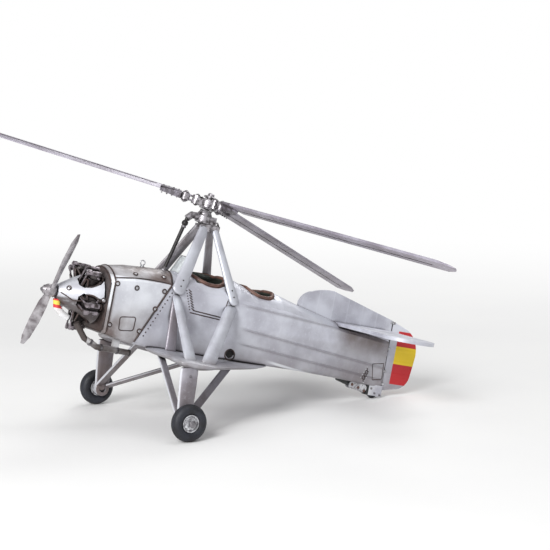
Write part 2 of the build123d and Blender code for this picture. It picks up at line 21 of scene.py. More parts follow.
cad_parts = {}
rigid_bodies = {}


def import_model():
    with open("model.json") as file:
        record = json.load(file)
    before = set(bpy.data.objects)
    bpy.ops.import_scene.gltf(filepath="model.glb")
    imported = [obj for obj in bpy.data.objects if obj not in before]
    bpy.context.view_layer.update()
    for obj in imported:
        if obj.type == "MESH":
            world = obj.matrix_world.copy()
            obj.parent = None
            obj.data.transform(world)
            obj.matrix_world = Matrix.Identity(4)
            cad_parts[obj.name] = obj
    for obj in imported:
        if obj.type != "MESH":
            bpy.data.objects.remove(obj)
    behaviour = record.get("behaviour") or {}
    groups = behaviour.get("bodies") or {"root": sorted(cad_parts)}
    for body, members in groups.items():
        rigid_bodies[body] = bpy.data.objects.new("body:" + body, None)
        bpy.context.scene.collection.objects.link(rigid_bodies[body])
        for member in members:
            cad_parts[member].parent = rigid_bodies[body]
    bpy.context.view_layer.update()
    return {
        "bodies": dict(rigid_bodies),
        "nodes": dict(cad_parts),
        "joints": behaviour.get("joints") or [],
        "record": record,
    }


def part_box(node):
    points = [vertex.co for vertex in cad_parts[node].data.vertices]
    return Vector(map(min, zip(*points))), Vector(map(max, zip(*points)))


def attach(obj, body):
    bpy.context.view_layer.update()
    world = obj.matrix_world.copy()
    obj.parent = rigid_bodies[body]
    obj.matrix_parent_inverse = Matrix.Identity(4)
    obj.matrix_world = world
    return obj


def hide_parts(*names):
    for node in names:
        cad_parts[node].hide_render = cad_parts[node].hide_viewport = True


Piece = bpy.types.Object
Socket = bpy.types.NodeSocket
Colour = tuple[float, float, float]
Profile = Sequence[tuple[float, float]]

LOG = logging.getLogger("gyrocopter")
MM = 0.001
WELD = 0.002
SHARP = 35.0
PITCH = math.atan2(24.85, 114.3)
BODY = Matrix.Rotation(-PITCH, 4, "Y")
THRUST_Z = 50.0
ROTOR_TILT = math.radians(8.6)
ROTOR = BODY @ Matrix.Translation(Vector((-12.4, 0.0, 98.2)) * MM) @ Matrix.Rotation(-ROTOR_TILT, 4, "Y")


# Places and directions.

def mm(x: float, y: float, z: float) -> Vector:
    """Gives a point or a step in metres from millimetres."""
    return Vector((x, y, z)) * MM


def moved(x: float, y: float, z: float) -> Matrix:
    """Gives the placement that shifts a piece by so many millimetres."""
    return Matrix.Translation(mm(x, y, z))


def turned(degrees: float, axis: str) -> Matrix:
    """Gives the placement that turns a piece round one axis."""
    return Matrix.Rotation(math.radians(degrees), 4, axis)


def body_point(x: float, y: float, z: float) -> Vector:
    """Gives the place in the shared frame of a point in the fuselage frame, in millimetres."""
    return BODY @ mm(x, y, z)


def body_way(x: float, y: float, z: float) -> Vector:
    """Gives the direction in the shared frame of one in the fuselage frame."""
    return BODY.to_3x3() @ Vector((x, y, z))


def circle(count: int) -> list[float]:
    """Gives the angles of points that stand evenly round a circle."""
    return [2 * math.pi * k / count for k in range(count)]


def wire(major: float, minor: float, corners: int = 8, level: float = 0.0) -> list[tuple[float, float]]:
    """Gives the profile of a ring of round wire.

    Args:
        major: the ring's radius.
        minor: the wire's radius.
        corners: the corners round the wire.
        level: the ring's height.

    Returns:
        The profile, as (radius, height).
    """
    return [(major + minor * math.cos(a), level + minor * math.sin(a)) for a in circle(corners)]


# Bench tools: small helpers that work through Blender's own operators.

def rest() -> None:
    """Leaves edit mode and clears the selection."""
    if bpy.context.object is not None and bpy.context.object.mode != "OBJECT":
        bpy.ops.object.mode_set(mode="OBJECT")
    bpy.ops.object.select_all(action="DESELECT")


def take(piece: Piece) -> None:
    """Selects one piece alone and makes it active.

    Args:
        piece: the object to work on.
    """
    rest()
    piece.select_set(True)
    bpy.context.view_layer.objects.active = piece


def settle(piece: Piece, place: Matrix | None = None) -> Piece:
    """Puts a piece in its place and keeps that place in its mesh.

    Args:
        piece: the object, as it was drawn.
        place: where it goes in the shared frame, on top of its own transform.

    Returns:
        The same object, at the origin, unturned and unscaled.
    """
    if place is not None:
        piece.matrix_world = place @ piece.matrix_world
    take(piece)
    bpy.ops.object.transform_apply(location=True, rotation=True, scale=True)
    return piece


def edit(piece: Piece) -> None:
    """Opens a piece's mesh for editing, with all of it selected."""
    take(piece)
    bpy.ops.object.mode_set(mode="EDIT")
    bpy.ops.mesh.select_all(action="SELECT")


def outward(piece: Piece) -> Piece:
    """Turns the faces of a piece outwards."""
    edit(piece)
    bpy.ops.mesh.normals_make_consistent(inside=False)
    bpy.ops.object.mode_set(mode="OBJECT")
    return piece


def clean(piece: Piece) -> Piece:
    """Merges the doubled points of a piece and turns its faces outwards."""
    edit(piece)
    bpy.ops.mesh.remove_doubles(threshold=WELD * MM)
    return outward(piece)


def smooth(piece: Piece, degrees: float = 40.0) -> Piece:
    """Shades a piece smooth except over its sharp edges.

    Args:
        piece: the object to shade.
        degrees: edges sharper than this stay crisp.

    Returns:
        The same object.
    """
    take(piece)
    bpy.ops.object.shade_smooth_by_angle(angle=math.radians(degrees))
    return piece


def soften(piece: Piece, width: float) -> Piece:
    """Rounds the sharp edges of a piece with a bevel of two steps that is applied.

    Args:
        piece: the object to round.
        width: the bevel's width in millimetres.

    Returns:
        The same object.
    """
    take(piece)
    edge = piece.modifiers.new("rounded edges", "BEVEL")
    edge.width = width * MM
    edge.segments = 2
    edge.limit_method = "ANGLE"
    edge.angle_limit = math.radians(SHARP)
    bpy.ops.object.modifier_apply(modifier=edge.name)
    return smooth(piece)


def spun(name: str, profile: Profile, steps: int = 32, ring: bool = False, place: Matrix | None = None) -> Piece:
    """Spins a profile of (radius, height) once round Z.

    Args:
        name: the piece's name.
        profile: the corners, in millimetres.
        steps: the faces round the axis.
        ring: whether the profile closes on itself, as a tyre's does.
        place: where the piece goes, if not at the origin.

    Returns:
        The turned piece.
    """
    rest()
    bpy.ops.mesh.primitive_circle_add(vertices=len(profile), radius=MM, location=(0, 0, 0))
    piece = bpy.context.object
    piece.name = name
    for vertex, (radius, height) in zip(piece.data.vertices, profile):
        vertex.co = Vector((radius * MM, 0.0, height * MM))
    edit(piece)
    if not ring:
        bpy.ops.mesh.select_all(action="DESELECT")
        bpy.ops.object.mode_set(mode="OBJECT")
        for edge in piece.data.edges:
            edge.select = set(edge.vertices) == {0, len(profile) - 1}
        bpy.ops.object.mode_set(mode="EDIT")
        bpy.ops.mesh.select_mode(type="EDGE")
        bpy.ops.mesh.delete(type="EDGE")
        bpy.ops.mesh.select_mode(type="VERT")
        bpy.ops.mesh.select_all(action="SELECT")
    bpy.ops.mesh.spin(steps=steps, angle=2 * math.pi, center=(0, 0, 0), axis=(0, 0, 1))
    bpy.ops.object.mode_set(mode="OBJECT")
    smooth(clean(piece))
    return piece if place is None else settle(piece, place)


def there_and_back(half: Profile) -> list[tuple[float, float]]:
    """Completes the profile of a part whose two ends are alike from its lower half."""
    return [*half, *((radius, -height) for radius, height in reversed(half))]


def block(name: str, size: Sequence[float], at: Sequence[float], round_edge: float) -> Piece:
    """Models a block with rounded edges.

    Args:
        name: the piece's name.
        size: its length, width and height in millimetres.
        at: its middle in millimetres.
        round_edge: the bevel on its edges in millimetres.

    Returns:
        The block, with its place in its mesh.
    """
    rest()
    bpy.ops.mesh.primitive_cube_add(size=MM, location=Vector(at) * MM)
    piece = bpy.context.object
    piece.name = name
    piece.scale = size
    return soften(settle(piece), round_edge)


def draped(name: str, rows: Sequence[Sequence[Vector]], caps: bool = True) -> Piece:
    """Drapes a grid over rings of points, for lofts, pipes and linings.

    Args:
        name: the piece's name.
        rows: rings of points in metres, all of one count.
        caps: whether the two ends of the skin are filled.

    Returns:
        The skinned piece.
    """
    rest()
    across = len(rows[0]) + 1
    bpy.ops.mesh.primitive_grid_add(x_subdivisions=across - 1, y_subdivisions=len(rows) - 1, size=MM)
    piece = bpy.context.object
    piece.name = name
    for j, row in enumerate(rows):
        for i in range(across):
            piece.data.vertices[j * across + i].co = row[i % len(row)]
    clean(piece)
    if caps:
        edit(piece)
        bpy.ops.mesh.select_mode(type="VERT")
        bpy.ops.mesh.select_all(action="DESELECT")
        bpy.ops.mesh.select_non_manifold()
        bpy.ops.mesh.edge_face_add()
        outward(piece)
    return piece


def ring_points(centre: Vector, ahead: Vector, up: Vector, radii: tuple[float, float], around: int) -> list[Vector]:
    """Gives the points of one ellipse across a pipe.

    Args:
        centre: its middle in metres.
        ahead: the direction of the pipe.
        up: a direction that isn't along the pipe.
        radii: the half widths across and upwards, in millimetres.
        around: the number of points.

    Returns:
        The points, in metres.
    """
    side = ahead.cross(up).normalized()
    top = side.cross(ahead).normalized()
    return [centre + side * radii[0] * MM * math.cos(a) + top * radii[1] * MM * math.sin(a)
            for a in circle(around)]


def pipe(name: str, points: Sequence[Vector], radius: float, around: int = 10, up: Vector = Vector((0, 0.1, 1)),
         loop: bool = False) -> Piece:
    """Runs a round bar through points.

    Args:
        name: the piece's name.
        points: the line, in metres.
        radius: the bar's radius in millimetres.
        around: the points round it.
        up: a direction that isn't along the line.
        loop: whether the line closes on itself.

    Returns:
        The bar.
    """
    rows = []
    count = len(points)
    for k, point in enumerate(points):
        before = points[k - 1] if (k or loop) else points[0]
        after = points[(k + 1) % count] if (k < count - 1 or loop) else points[-1]
        rows.append(ring_points(point, (after - before).normalized(), up, (radius, radius), around))
    if loop:
        rows.append(rows[0])
    return smooth(clean(draped(name, rows, caps=not loop)), 50)


def along(points: Sequence[Vector], step: float) -> list[Vector]:
    """Divides a line of points into short even steps.

    Args:
        points: the corners of the line.
        step: the length of a step, in the line's own units.

    Returns:
        The points along the line, both ends among them.
    """
    spread = [points[0]]
    for a, b in zip(points[:-1], points[1:]):
        count = max(1, round((b - a).length / step))
        spread += [a.lerp(b, (k + 1) / count) for k in range(count)]
    return spread


def joined(name: str, pieces: Sequence[Piece]) -> Piece:
    """Joins pieces into one object.

    Args:
        name: the name of the result.
        pieces: the objects to join.

    Returns:
        The joined object.
    """
    rest()
    for piece in pieces:
        piece.select_set(True)
    bpy.context.view_layer.objects.active = pieces[0]
    if len(pieces) > 1:
        bpy.ops.object.join()
    pieces[0].name = name
    return pieces[0]


def copied(piece: Piece, place: Matrix | None = None, name: str | None = None,
           scale: Sequence[float] = (1, 1, 1)) -> Piece:
    """Copies a piece with its own mesh and puts the copy in place.

    Args:
        piece: the object to copy, with its place in its mesh.
        place: the move from the original to the copy.
        name: the copy's name, if it isn't numbered.
        scale: the scale along X, Y and Z.

    Returns:
        The copy.
    """
    twin = piece.copy()
    twin.data = piece.data.copy()
    bpy.context.scene.collection.objects.link(twin)
    twin.name = name or piece.name
    twin.scale = scale
    return settle(twin, place)


def mirrored(piece: Piece) -> Piece:
    """Makes the starboard twin of a port piece, with its faces outwards."""
    return outward(copied(piece, None, piece.name.replace("_left", "_right"), (1, -1, 1)))


def upright(at: Vector, normal: Vector) -> Matrix:
    """Gives the placement that stands a piece drawn along Z on a surface.

    Args:
        at: the point on the surface, in metres.
        normal: the surface's direction there.

    Returns:
        The placement.
    """
    return Matrix.Translation(at) @ normal.to_track_quat("Z", "Y").to_matrix().to_4x4()


class Skin:
    """The surface of some CAD nodes, to set small pieces on."""

    def __init__(self, frame: dict, names: Sequence[str]) -> None:
        """Collects the nodes' triangles.

        Args:
            names: the nodes.
        """
        points: list[Vector] = []
        faces: list[list[int]] = []
        for name in names:
            mesh = frame["nodes"][name].data
            base = len(points)
            points += [v.co.copy() for v in mesh.vertices]
            faces += [[base + i for i in p.vertices] for p in mesh.polygons]
        self.tree = BVHTree.FromPolygons(points, faces)

    def hit(self, start: Vector, towards: Vector, lift: float = 0.0) -> tuple[Vector, Vector]:
        """Finds the surface from a point along a direction.

        Args:
            start: a point outside, in millimetres in the fuselage frame.
            towards: the direction, in the fuselage frame.
            lift: how far above the surface the answer lies, in millimetres.

        Returns:
            The place and the outward normal, in the shared frame.
        """
        ray = (BODY.to_3x3() @ towards).normalized()
        place, normal, _, _ = self.tree.ray_cast(BODY @ (start * MM), ray)
        if place is None:
            place, normal, _, _ = self.tree.find_nearest(BODY @ (start * MM))
        if normal.dot(ray) > 0:
            normal = -normal
        return place + normal * lift * MM, normal

    def side(self, x: float, z: float, lift: float = 0.0) -> tuple[Vector, Vector]:
        """Finds the port side at a station and height in the fuselage frame."""
        return self.hit(Vector((x, 60.0, z)), Vector((0, -1, 0)), lift)

    def deck(self, x: float, y: float, lift: float = 0.0) -> tuple[Vector, Vector]:
        """Finds the upper surface at a station and distance to port in the fuselage frame."""
        return self.hit(Vector((x, y, 120.0)), Vector((0, 0, -1)), lift)

    def trace(self, line: Profile, step: float | None = None, lift: float = 0.0) -> list[Vector]:
        """Follows a line of (x, z) points over the port side.

        Args:
            line: the line's corners, in the fuselage frame.
            step: how far apart the points are laid between them, in millimetres.
            lift: how far above the surface the line runs, in millimetres.

        Returns:
            The points, in the shared frame.
        """
        corners = [Vector((x, 0, z)) for x, z in line]
        return [self.side(q.x, q.z, lift)[0] for q in (along(corners, step) if step else corners)]


# Finishes.

STEP_BLUR = 0.1
# How dark the washes and painted shade in corners get.
WASH_AND_SHADE_SHARE = 0.9
FINE = 1500.0


class Space(Enum):
    """Which frame a pattern is drawn in."""

    FUSELAGE = "fuselage"
    OBJECT = "object"


class Bench:
    """A material under construction, with short calls for its nodes."""

    def __init__(self, name: str, space: Space = Space.OBJECT) -> None:
        """Starts a material.

        Args:
            name: the material's name.
            space: the frame that its patterns are drawn in.
        """
        self.material = bpy.data.materials.new(name)
        self.material.use_nodes = True
        self.tree = self.material.node_tree
        self.shader = self.tree.nodes["Principled BSDF"]
        self.coords = self.node("TexCoord").outputs["Object"]
        if space is Space.FUSELAGE:
            self.coords = self.node("Mapping", {"Vector": self.coords, "Rotation": (0, PITCH, 0)}).outputs["Vector"]
        self.height: Socket | None = None
        self._parts: dict[str, bpy.types.Node] = {}

    def put(self, target: Socket, value: Socket | float | Sequence[float]) -> None:
        """Links an input to a pattern, or gives it a number, a direction or a colour."""
        if isinstance(value, Socket):
            self.tree.links.new(value, target)
        elif isinstance(value, (int, float)):
            target.default_value = value
        else:
            target.default_value = (*value, 1.0)[:len(target.default_value)]

    def node(self, kind: str, inputs: dict[str | int, Socket | float | Sequence[float]] | None = None,
             **settings: str | int) -> bpy.types.Node:
        """Adds one node.

        Args:
            kind: Blender's name for it, after "ShaderNode".
            inputs: its inputs and their values.
            settings: its other settings, which are made first.

        Returns:
            The node.
        """
        node = self.tree.nodes.new(f"ShaderNode{kind}")
        for name, value in settings.items():
            setattr(node, name, value)
        for slot, value in (inputs or {}).items():
            self.put(node.inputs[slot], value)
        return node

    def part(self, vector: str) -> bpy.types.Node:
        """Splits the pattern's place or the surface's own direction into its coordinates, once.

        Args:
            vector: "place" or "Normal".

        Returns:
            The node that splits it.
        """
        if vector not in self._parts:
            source = self.node("TexCoord").outputs[vector] if vector == "Normal" else self.coords
            self._parts[vector] = self.node("SeparateXYZ", {0: source})
        return self._parts[vector]

    def axis(self, letter: str) -> Socket:
        """Gives one coordinate of the pattern's frame, in metres."""
        return self.part("place").outputs[letter]

    def facing(self, letter: str) -> Socket:
        """Gives one coordinate of the surface's own direction."""
        return self.part("Normal").outputs[letter]

    def noise(self, scale: float, detail: float = 3.0, stretch: Sequence[float] = (1, 1, 1)) -> Socket:
        """Adds a noise pattern.

        Args:
            scale: features in a metre.
            detail: how many octaves.
            stretch: how much finer it is along each axis.

        Returns:
            Its value, near 0.5 on average.
        """
        place = self.node("Mapping", {"Scale": stretch, "Vector": self.coords}).outputs["Vector"]
        return self.node("TexNoise", {"Scale": scale, "Detail": detail, "Vector": place}).outputs["Fac"]

    def math(self, operation: str, a: Socket | float, b: Socket | float = 0.0) -> Socket:
        """Adds one sum of two values.

        Args:
            operation: Blender's name for it.
            a: the first value.
            b: the second value.

        Returns:
            The result.
        """
        return self.node("Math", {0: a, 1: b}, operation=operation).outputs[0]

    def times(self, *values: Socket | float) -> Socket:
        """Multiplies values with each other."""
        return reduce(lambda a, b: self.math("MULTIPLY", a, b), values)

    def most(self, *values: Socket) -> Socket:
        """Takes the greatest of some values."""
        return reduce(lambda a, b: self.math("MAXIMUM", a, b), values)

    def gap(self, letter: str, level: float) -> Socket:
        """Gives the distance in metres from a plane that stands at a level in millimetres."""
        return self.math("ABSOLUTE", self.math("SUBTRACT", self.axis(letter), level * MM))

    def waver(self, letter: str, scale: float, depth: float, detail: float = 2.0) -> Socket:
        """Gives one coordinate in metres with an uneven edge of some depth in millimetres."""
        return self.math("ADD", self.axis(letter), self.times(self.noise(scale, detail), depth * MM))

    def ramp(self, value: Socket, low: float, high: float, first: float = 0.0, last: float = 1.0) -> Socket:
        """Maps a value smoothly from one range to another.

        Args:
            value: what is mapped.
            low: where the change starts.
            high: where it ends.
            first: the result below the start.
            last: the result above the end.

        Returns:
            The mapped value.
        """
        return self.node("MapRange", {"From Min": low, "From Max": high, "To Min": first, "To Max": last,
                                      "Value": value}, interpolation_type="SMOOTHSTEP").outputs["Result"]

    def span(self, letter: str, low: float, high: float, first: float = 0.0, last: float = 1.0) -> Socket:
        """Maps one coordinate smoothly between two places in millimetres, as ramp does."""
        return self.ramp(self.axis(letter), low * MM, high * MM, first, last)

    def step(self, letter: str, level: float, first: float = 0.0, last: float = 1.0) -> Socket:
        """Steps from one value to another at a place in millimetres."""
        return self.span(letter, level - STEP_BLUR, level + STEP_BLUR, first, last)

    def mix(self, share: Socket, first: Socket | Colour, second: Socket | Colour) -> Socket:
        """Mixes two colours.

        Args:
            share: how much of the second colour shows.
            first: the colour at 0.
            second: the colour at 1.

        Returns:
            The mixed colour.
        """
        return self.node("Mix", {"Factor": share, 6: first, 7: second}, data_type="RGBA").outputs[2]

    def away(self, middle: Sequence[float]) -> Socket:
        """Gives the distance in metres from a point of the pattern's frame."""
        return self.node("VectorMath", {0: self.coords, 1: middle}, operation="DISTANCE").outputs["Value"]

    def crevice_wash_and_shade(self, reach: float) -> Socket:
        """Finds where the surface lies close to another, where paint washes gather and where shade falls.

        Args:
            reach: how far apart the surfaces may be, in millimetres.

        Returns:
            A value from 0 on open surfaces to 1 deep in a corner.
        """
        open_share = self.node("AmbientOcclusion", {"Distance": reach * MM}, samples=8).outputs["AO"]
        return self.ramp(open_share, 0.25, 0.85, 1.0, 0.0)

    def feed(self, socket: str, value: Socket | float | Sequence[float]) -> None:
        """Sets or links one input of the shader, by its name."""
        self.put(self.shader.inputs[socket], value)

    def washed_and_shaded(self, tone: Socket, wash_and_shade_ink: Colour, reach: float) -> Socket:
        """Lays dark washes and painted shade into the corners.

        Args:
            tone: the colour on open surfaces.
            wash_and_shade_ink: the colour of the washes and the painted shade.
            reach: how far it spreads, in millimetres.

        Returns:
            The colour with its washes and painted shade.
        """
        return self.mix(self.times(self.crevice_wash_and_shade(reach), WASH_AND_SHADE_SHARE), tone, wash_and_shade_ink)

    def gloss(self, low: float, high: float, scale: float = FINE, detail: float = 3.0) -> Socket:
        """Varies the roughness with a fine fleck.

        Args:
            low: the roughness where the fleck is weakest.
            high: the roughness where it is strongest.
            scale: flecks in a metre.
            detail: how many octaves.

        Returns:
            The fleck.
        """
        fleck = self.noise(scale, detail)
        self.feed("Roughness", self.ramp(fleck, 0.3, 0.7, low, high))
        return fleck

    def relief(self, height: Socket, depth: float) -> None:
        """Presses a pattern into the surface.

        Args:
            height: the pattern, from 0 to 1.
            depth: its height in millimetres.
        """
        bump = self.node("Bump", {"Strength": 1.0, "Distance": depth * MM, "Height": height})
        self.feed("Normal", bump.outputs["Normal"])


@dataclass(frozen=True)
class Finish:
    """A painted or bare surface with a mottle, dark washes and painted shade in its corners, and a fine grain."""

    name: str
    colour: Colour
    shade: Colour
    roughness: float = 0.42
    metallic: float = 0.0
    mottle: float = 160.0
    grain: float = 1400.0
    grain_depth: float = 0.02
    # How far the washes and painted shade in corners reach, in millimetres.
    reach: float = 1.2
    wash_and_shade_ink: Colour = (0.012, 0.009, 0.009)

    def make(self) -> bpy.types.Material:
        """Builds the material."""
        bench = Bench(self.name)
        cloud = bench.ramp(bench.noise(self.mottle, 4.0), 0.35, 0.7)
        bench.feed("Base Color", bench.washed_and_shaded(bench.mix(cloud, self.colour, self.shade), self.wash_and_shade_ink, self.reach))
        bench.feed("Metallic", self.metallic)
        fleck = bench.gloss(self.roughness - 0.07, self.roughness + 0.09, self.grain, 2.0)
        bench.relief(fleck, self.grain_depth)
        return bench.material


@dataclass(frozen=True)
class SilverDope:
    """Satin silver paint with a lilac cast, mottled by hand, browner towards the bottom, with painted shade on faces
    that look down or inwards, where set a painted highlight on faces that look forward, and washes and painted shade
    in corners.
    """

    name: str = "silver dope"
    pale: Colour = (0.66, 0.675, 0.745)
    deep: Colour = (0.43, 0.43, 0.49)
    # The brown used low down and on the deck, and for painted shade on faces that look down or inwards and under the
    # tailplane.
    wash_and_shade: Colour = (0.15, 0.115, 0.105)
    wash_and_shade_ink: Colour = (0.030, 0.022, 0.022)
    # The colour of the painted highlight on faces that look forward.
    nose: Colour = (0.74, 0.75, 0.80)
    roughness: float = 0.40
    metallic: float = 0.30
    darkening_low: float = 30.0
    darkening_high: float = 44.0
    darkening_share: float = 0.60
    # Painted shade on faces that look down, and on faces that look inwards.
    under_shade_share: float = 0.55
    inner_shade_share: float = 0.0
    deck_level: float | None = None
    deck_share: float = 1.0
    # Painted highlight on faces that look forward.
    front_highlight_share: float = 0.0
    fleck_detail: float = 2.0
    fleck_share: float = 1.0
    depth: float = 0.018
    space: Space = Space.FUSELAGE

    def colour(self, bench: Bench) -> Socket:
        """Gives the paint's colour on a material under construction.

        Args:
            bench: the material.

        Returns:
            The colour.
        """
        tone = bench.mix(bench.ramp(bench.noise(70.0, 5.0), 0.32, 0.68), self.pale, self.deep)
        tone = bench.mix(bench.ramp(bench.noise(900.0, 2.0), 0.56, 0.72, 0.0, 0.35), tone, self.pale)
        # Darker towards the bottom, and painted shade on faces that look down.
        stains_and_shade = [bench.span("Z", self.darkening_low, self.darkening_high, self.darkening_share, 0.0),
                  bench.ramp(bench.facing("Z"), -0.85, -0.1, self.under_shade_share, 0.0)]
        if self.inner_shade_share:
            # Painted shade on faces that look inwards, towards the middle.
            inner = bench.times(bench.facing("Y"), bench.math("SIGN", bench.axis("Y")))
            stains_and_shade.append(bench.ramp(inner, -0.7, 0.1, self.inner_shade_share, 0.0))
        if self.deck_level is not None:
            stains_and_shade.append(bench.span("Z", self.deck_level - 0.2, self.deck_level + 0.5, 0.0, self.deck_share))
        cloud = bench.ramp(bench.noise(120.0, 4.0), 0.3, 0.7, 0.5, 1.0)
        tone = bench.mix(bench.times(bench.most(*stains_and_shade), cloud), tone, self.wash_and_shade)
        # Painted highlight on faces that look forward.
        if self.front_highlight_share:
            tone = bench.mix(bench.ramp(bench.facing("X"), 0.45, 0.8, 0.0, self.front_highlight_share), tone, self.nose)
        # Washes and painted shade in the corners.
        return bench.washed_and_shaded(tone, self.wash_and_shade_ink, 1.5)

    def surface(self, bench: Bench) -> None:
        """Sets the gloss of the paint, and its grain over any pattern that the colour left in relief.

        Args:
            bench: the material.
        """
        bench.feed("Metallic", self.metallic)
        fleck = bench.gloss(self.roughness - 0.06, self.roughness + 0.08, FINE, self.fleck_detail)
        if bench.height is not None:
            fleck = bench.math("ADD", bench.height, bench.times(fleck, self.fleck_share))
        bench.relief(fleck, self.depth)

    def make(self) -> bpy.types.Material:
        """Builds the material."""
        bench = Bench(self.name, self.space)
        bench.feed("Base Color", self.colour(bench))
        self.surface(bench)
        return bench.material


@dataclass(frozen=True)
class HullPaint(SilverDope):
    """The silver of the fuselage, with its stringers and the painted shadows under them, a painted shadow under the
    tailplane, a painted highlight along the lower longeron, and dark paint inside the two cockpits.
    """

    name: str = "hull paint"
    inside: Colour = (0.030, 0.036, 0.030)
    lower: Colour = (0.24, 0.22, 0.23)
    shadow: Colour = (0.20, 0.18, 0.20)
    # The colour of the painted highlight along the lower longeron.
    edge: Colour = (0.80, 0.82, 0.86)
    longeron: tuple[float, float, float] = (-46.6, 35.4, 0.126)
    wells: tuple[tuple[float, float, float], ...] = ((-16.8, 7.75, 9.55), (-43.0, 6.35, 8.85))
    stringers: tuple[tuple[float, float, float], ...] = (
        (-28.5, 58.2, -0.068), (-30.0, 48.0, -0.100), (-30.0, 41.5, -0.090))
    run_in: float = 8.0
    fleck_share: float = 0.07
    depth: float = 0.28

    def stringer(self, bench: Bench, start: float, level: float, slope: float) -> tuple[Socket, Socket]:
        """Draws one stringer along the side.

        Args:
            bench: the material.
            start: the station where it starts.
            level: its height there.
            slope: how much it falls on its way aft.

        Returns:
            Its ridge and the shadow under it.
        """
        run = bench.math("SUBTRACT", bench.axis("X"), start * MM)
        line = bench.math("ADD", bench.times(run, -slope), level * MM)
        gap = bench.math("ABSOLUTE", bench.math("SUBTRACT", bench.axis("Z"), line))
        ridge = bench.times(bench.ramp(gap, 0.0, 0.7 * MM, 1.0, 0.0),
                            bench.span("X", start - self.run_in, start, 1.0, 0.0))
        fall = bench.math("SUBTRACT", line, bench.axis("Z"))
        shadow = bench.times(bench.ramp(fall, 0.0, 1.6 * MM, 1.0, 0.0), bench.ramp(fall, -0.5 * MM, 0.2 * MM),
                             bench.span("X", start - self.run_in, start, 0.45, 0.0))
        return ridge, shadow

    def colour(self, bench: Bench) -> Socket:
        """Gives the colour of the fuselage, with its painted shadows and highlight, and leaves its stringers as
        relief.
        """
        # Painted shadow of the tailplane on the side of the tail.
        shade = bench.times(bench.span("X", -94, -80, 1.0, 0.0), bench.span("Z", 40, 51, 0.25, 0.85),
                            bench.ramp(bench.noise(120.0, 4.0), 0.3, 0.7, 0.6, 1.0))
        tone = bench.mix(shade, super().colour(bench), self.wash_and_shade)
        lower = bench.times(bench.span("X", -36, -26, 1.0, 0.0), bench.span("Z", 46, 49, 0.22, 0.0))
        tone = bench.mix(lower, tone, self.lower)
        ridges, shadows = zip(*(self.stringer(bench, *row) for row in self.stringers))
        bench.height = bench.most(*ridges)
        tone = bench.mix(bench.most(*shadows), tone, self.shadow)
        # Painted highlight along the lower longeron.
        start, level, slope = self.longeron
        run = bench.times(bench.math("SUBTRACT", bench.axis("X"), start * MM), slope)
        foot = bench.math("SUBTRACT", bench.math("SUBTRACT", bench.axis("Z"), level * MM), run)
        pale = bench.times(bench.ramp(bench.math("ABSOLUTE", foot), 0.2 * MM, 0.9 * MM, 0.8, 0.0),
                           bench.span("X", start - self.run_in, start, 1.0, 0.0), bench.span("X", -92, -82))
        tone = bench.mix(pale, tone, self.edge)
        wells = []
        for middle, long, wide in self.wells:
            edges = [bench.ramp(bench.gap(letter, at), half * MM, (half + 0.05) * MM, 1.0, 0.0)
                     for letter, at, half in (("X", middle, long), ("Y", 0.0, wide))]
            wells.append(bench.times(*edges))
        return bench.mix(bench.times(bench.most(*wells), bench.span("Z", 44.0, 44.9)), tone, self.inside)


@dataclass(frozen=True)
class CowlPaint(SilverDope):
    """The bright silver of the main cowl, brown below, with a pale front band and a dark front face."""

    name: str = "cowl silver"
    pale: Colour = (0.76, 0.78, 0.83)
    deep: Colour = (0.55, 0.56, 0.61)
    wash_and_shade: Colour = (0.115, 0.078, 0.068)
    white: Colour = (0.84, 0.86, 0.90)
    face: Colour = (0.075, 0.048, 0.042)
    darkening_low: float = 37.0
    darkening_high: float = 54.0
    darkening_share: float = 0.97
    deck_level: float | None = 61.2
    band: tuple[float, float] = (30.2, 31.9)

    def colour(self, bench: Bench) -> Socket:
        """Gives the colour of the cowl."""
        aft, fore = self.band
        edge = bench.times(bench.ramp(bench.waver("X", 200.0, 0.3), (aft - 1.6) * MM, aft * MM),
                           bench.span("Z", 40, 60, 0.75, 0.35))
        tone = bench.mix(edge, super().colour(bench), self.wash_and_shade)
        inside = bench.times(bench.span("X", aft, aft + 0.1), bench.span("Z", 45.5, 49, 0.12, 0.92),
                             bench.span("Z", 59.6, 61.6, 1.0, 0.25))
        tone = bench.mix(inside, tone, self.white)
        return bench.mix(bench.span("X", fore, fore + 0.1, 0.0, 0.88), tone, self.face)


@dataclass(frozen=True)
class SplitPaint(SilverDope):
    """Silver aft of one station, and dark ahead of it."""

    name: str = "fork paint"
    station: float = -110.4
    dark: Colour = (0.030, 0.034, 0.032)

    def colour(self, bench: Bench) -> Socket:
        """Gives the two-tone colour."""
        return bench.mix(bench.step("X", self.station, 0.0, 0.95), super().colour(bench), self.dark)


@dataclass(frozen=True)
class NosePaint(SilverDope):
    """The silver of the nose, nearly black below its wavy seam."""

    name: str = "nose paint"
    seam: float = 48.7
    dark: Colour = (0.055, 0.036, 0.032)

    def colour(self, bench: Bench) -> Socket:
        """Gives the colour of the nose."""
        below = bench.ramp(bench.waver("Z", 150.0, 1.6), (self.seam - 0.2) * MM, (self.seam + 1.2) * MM, 0.86, 0.0)
        streak = bench.ramp(bench.noise(260.0, 3.0, (1, 1, 2)), 0.55, 0.72, 1.0, 0.55)
        return bench.mix(bench.times(below, streak), super().colour(bench), self.dark)


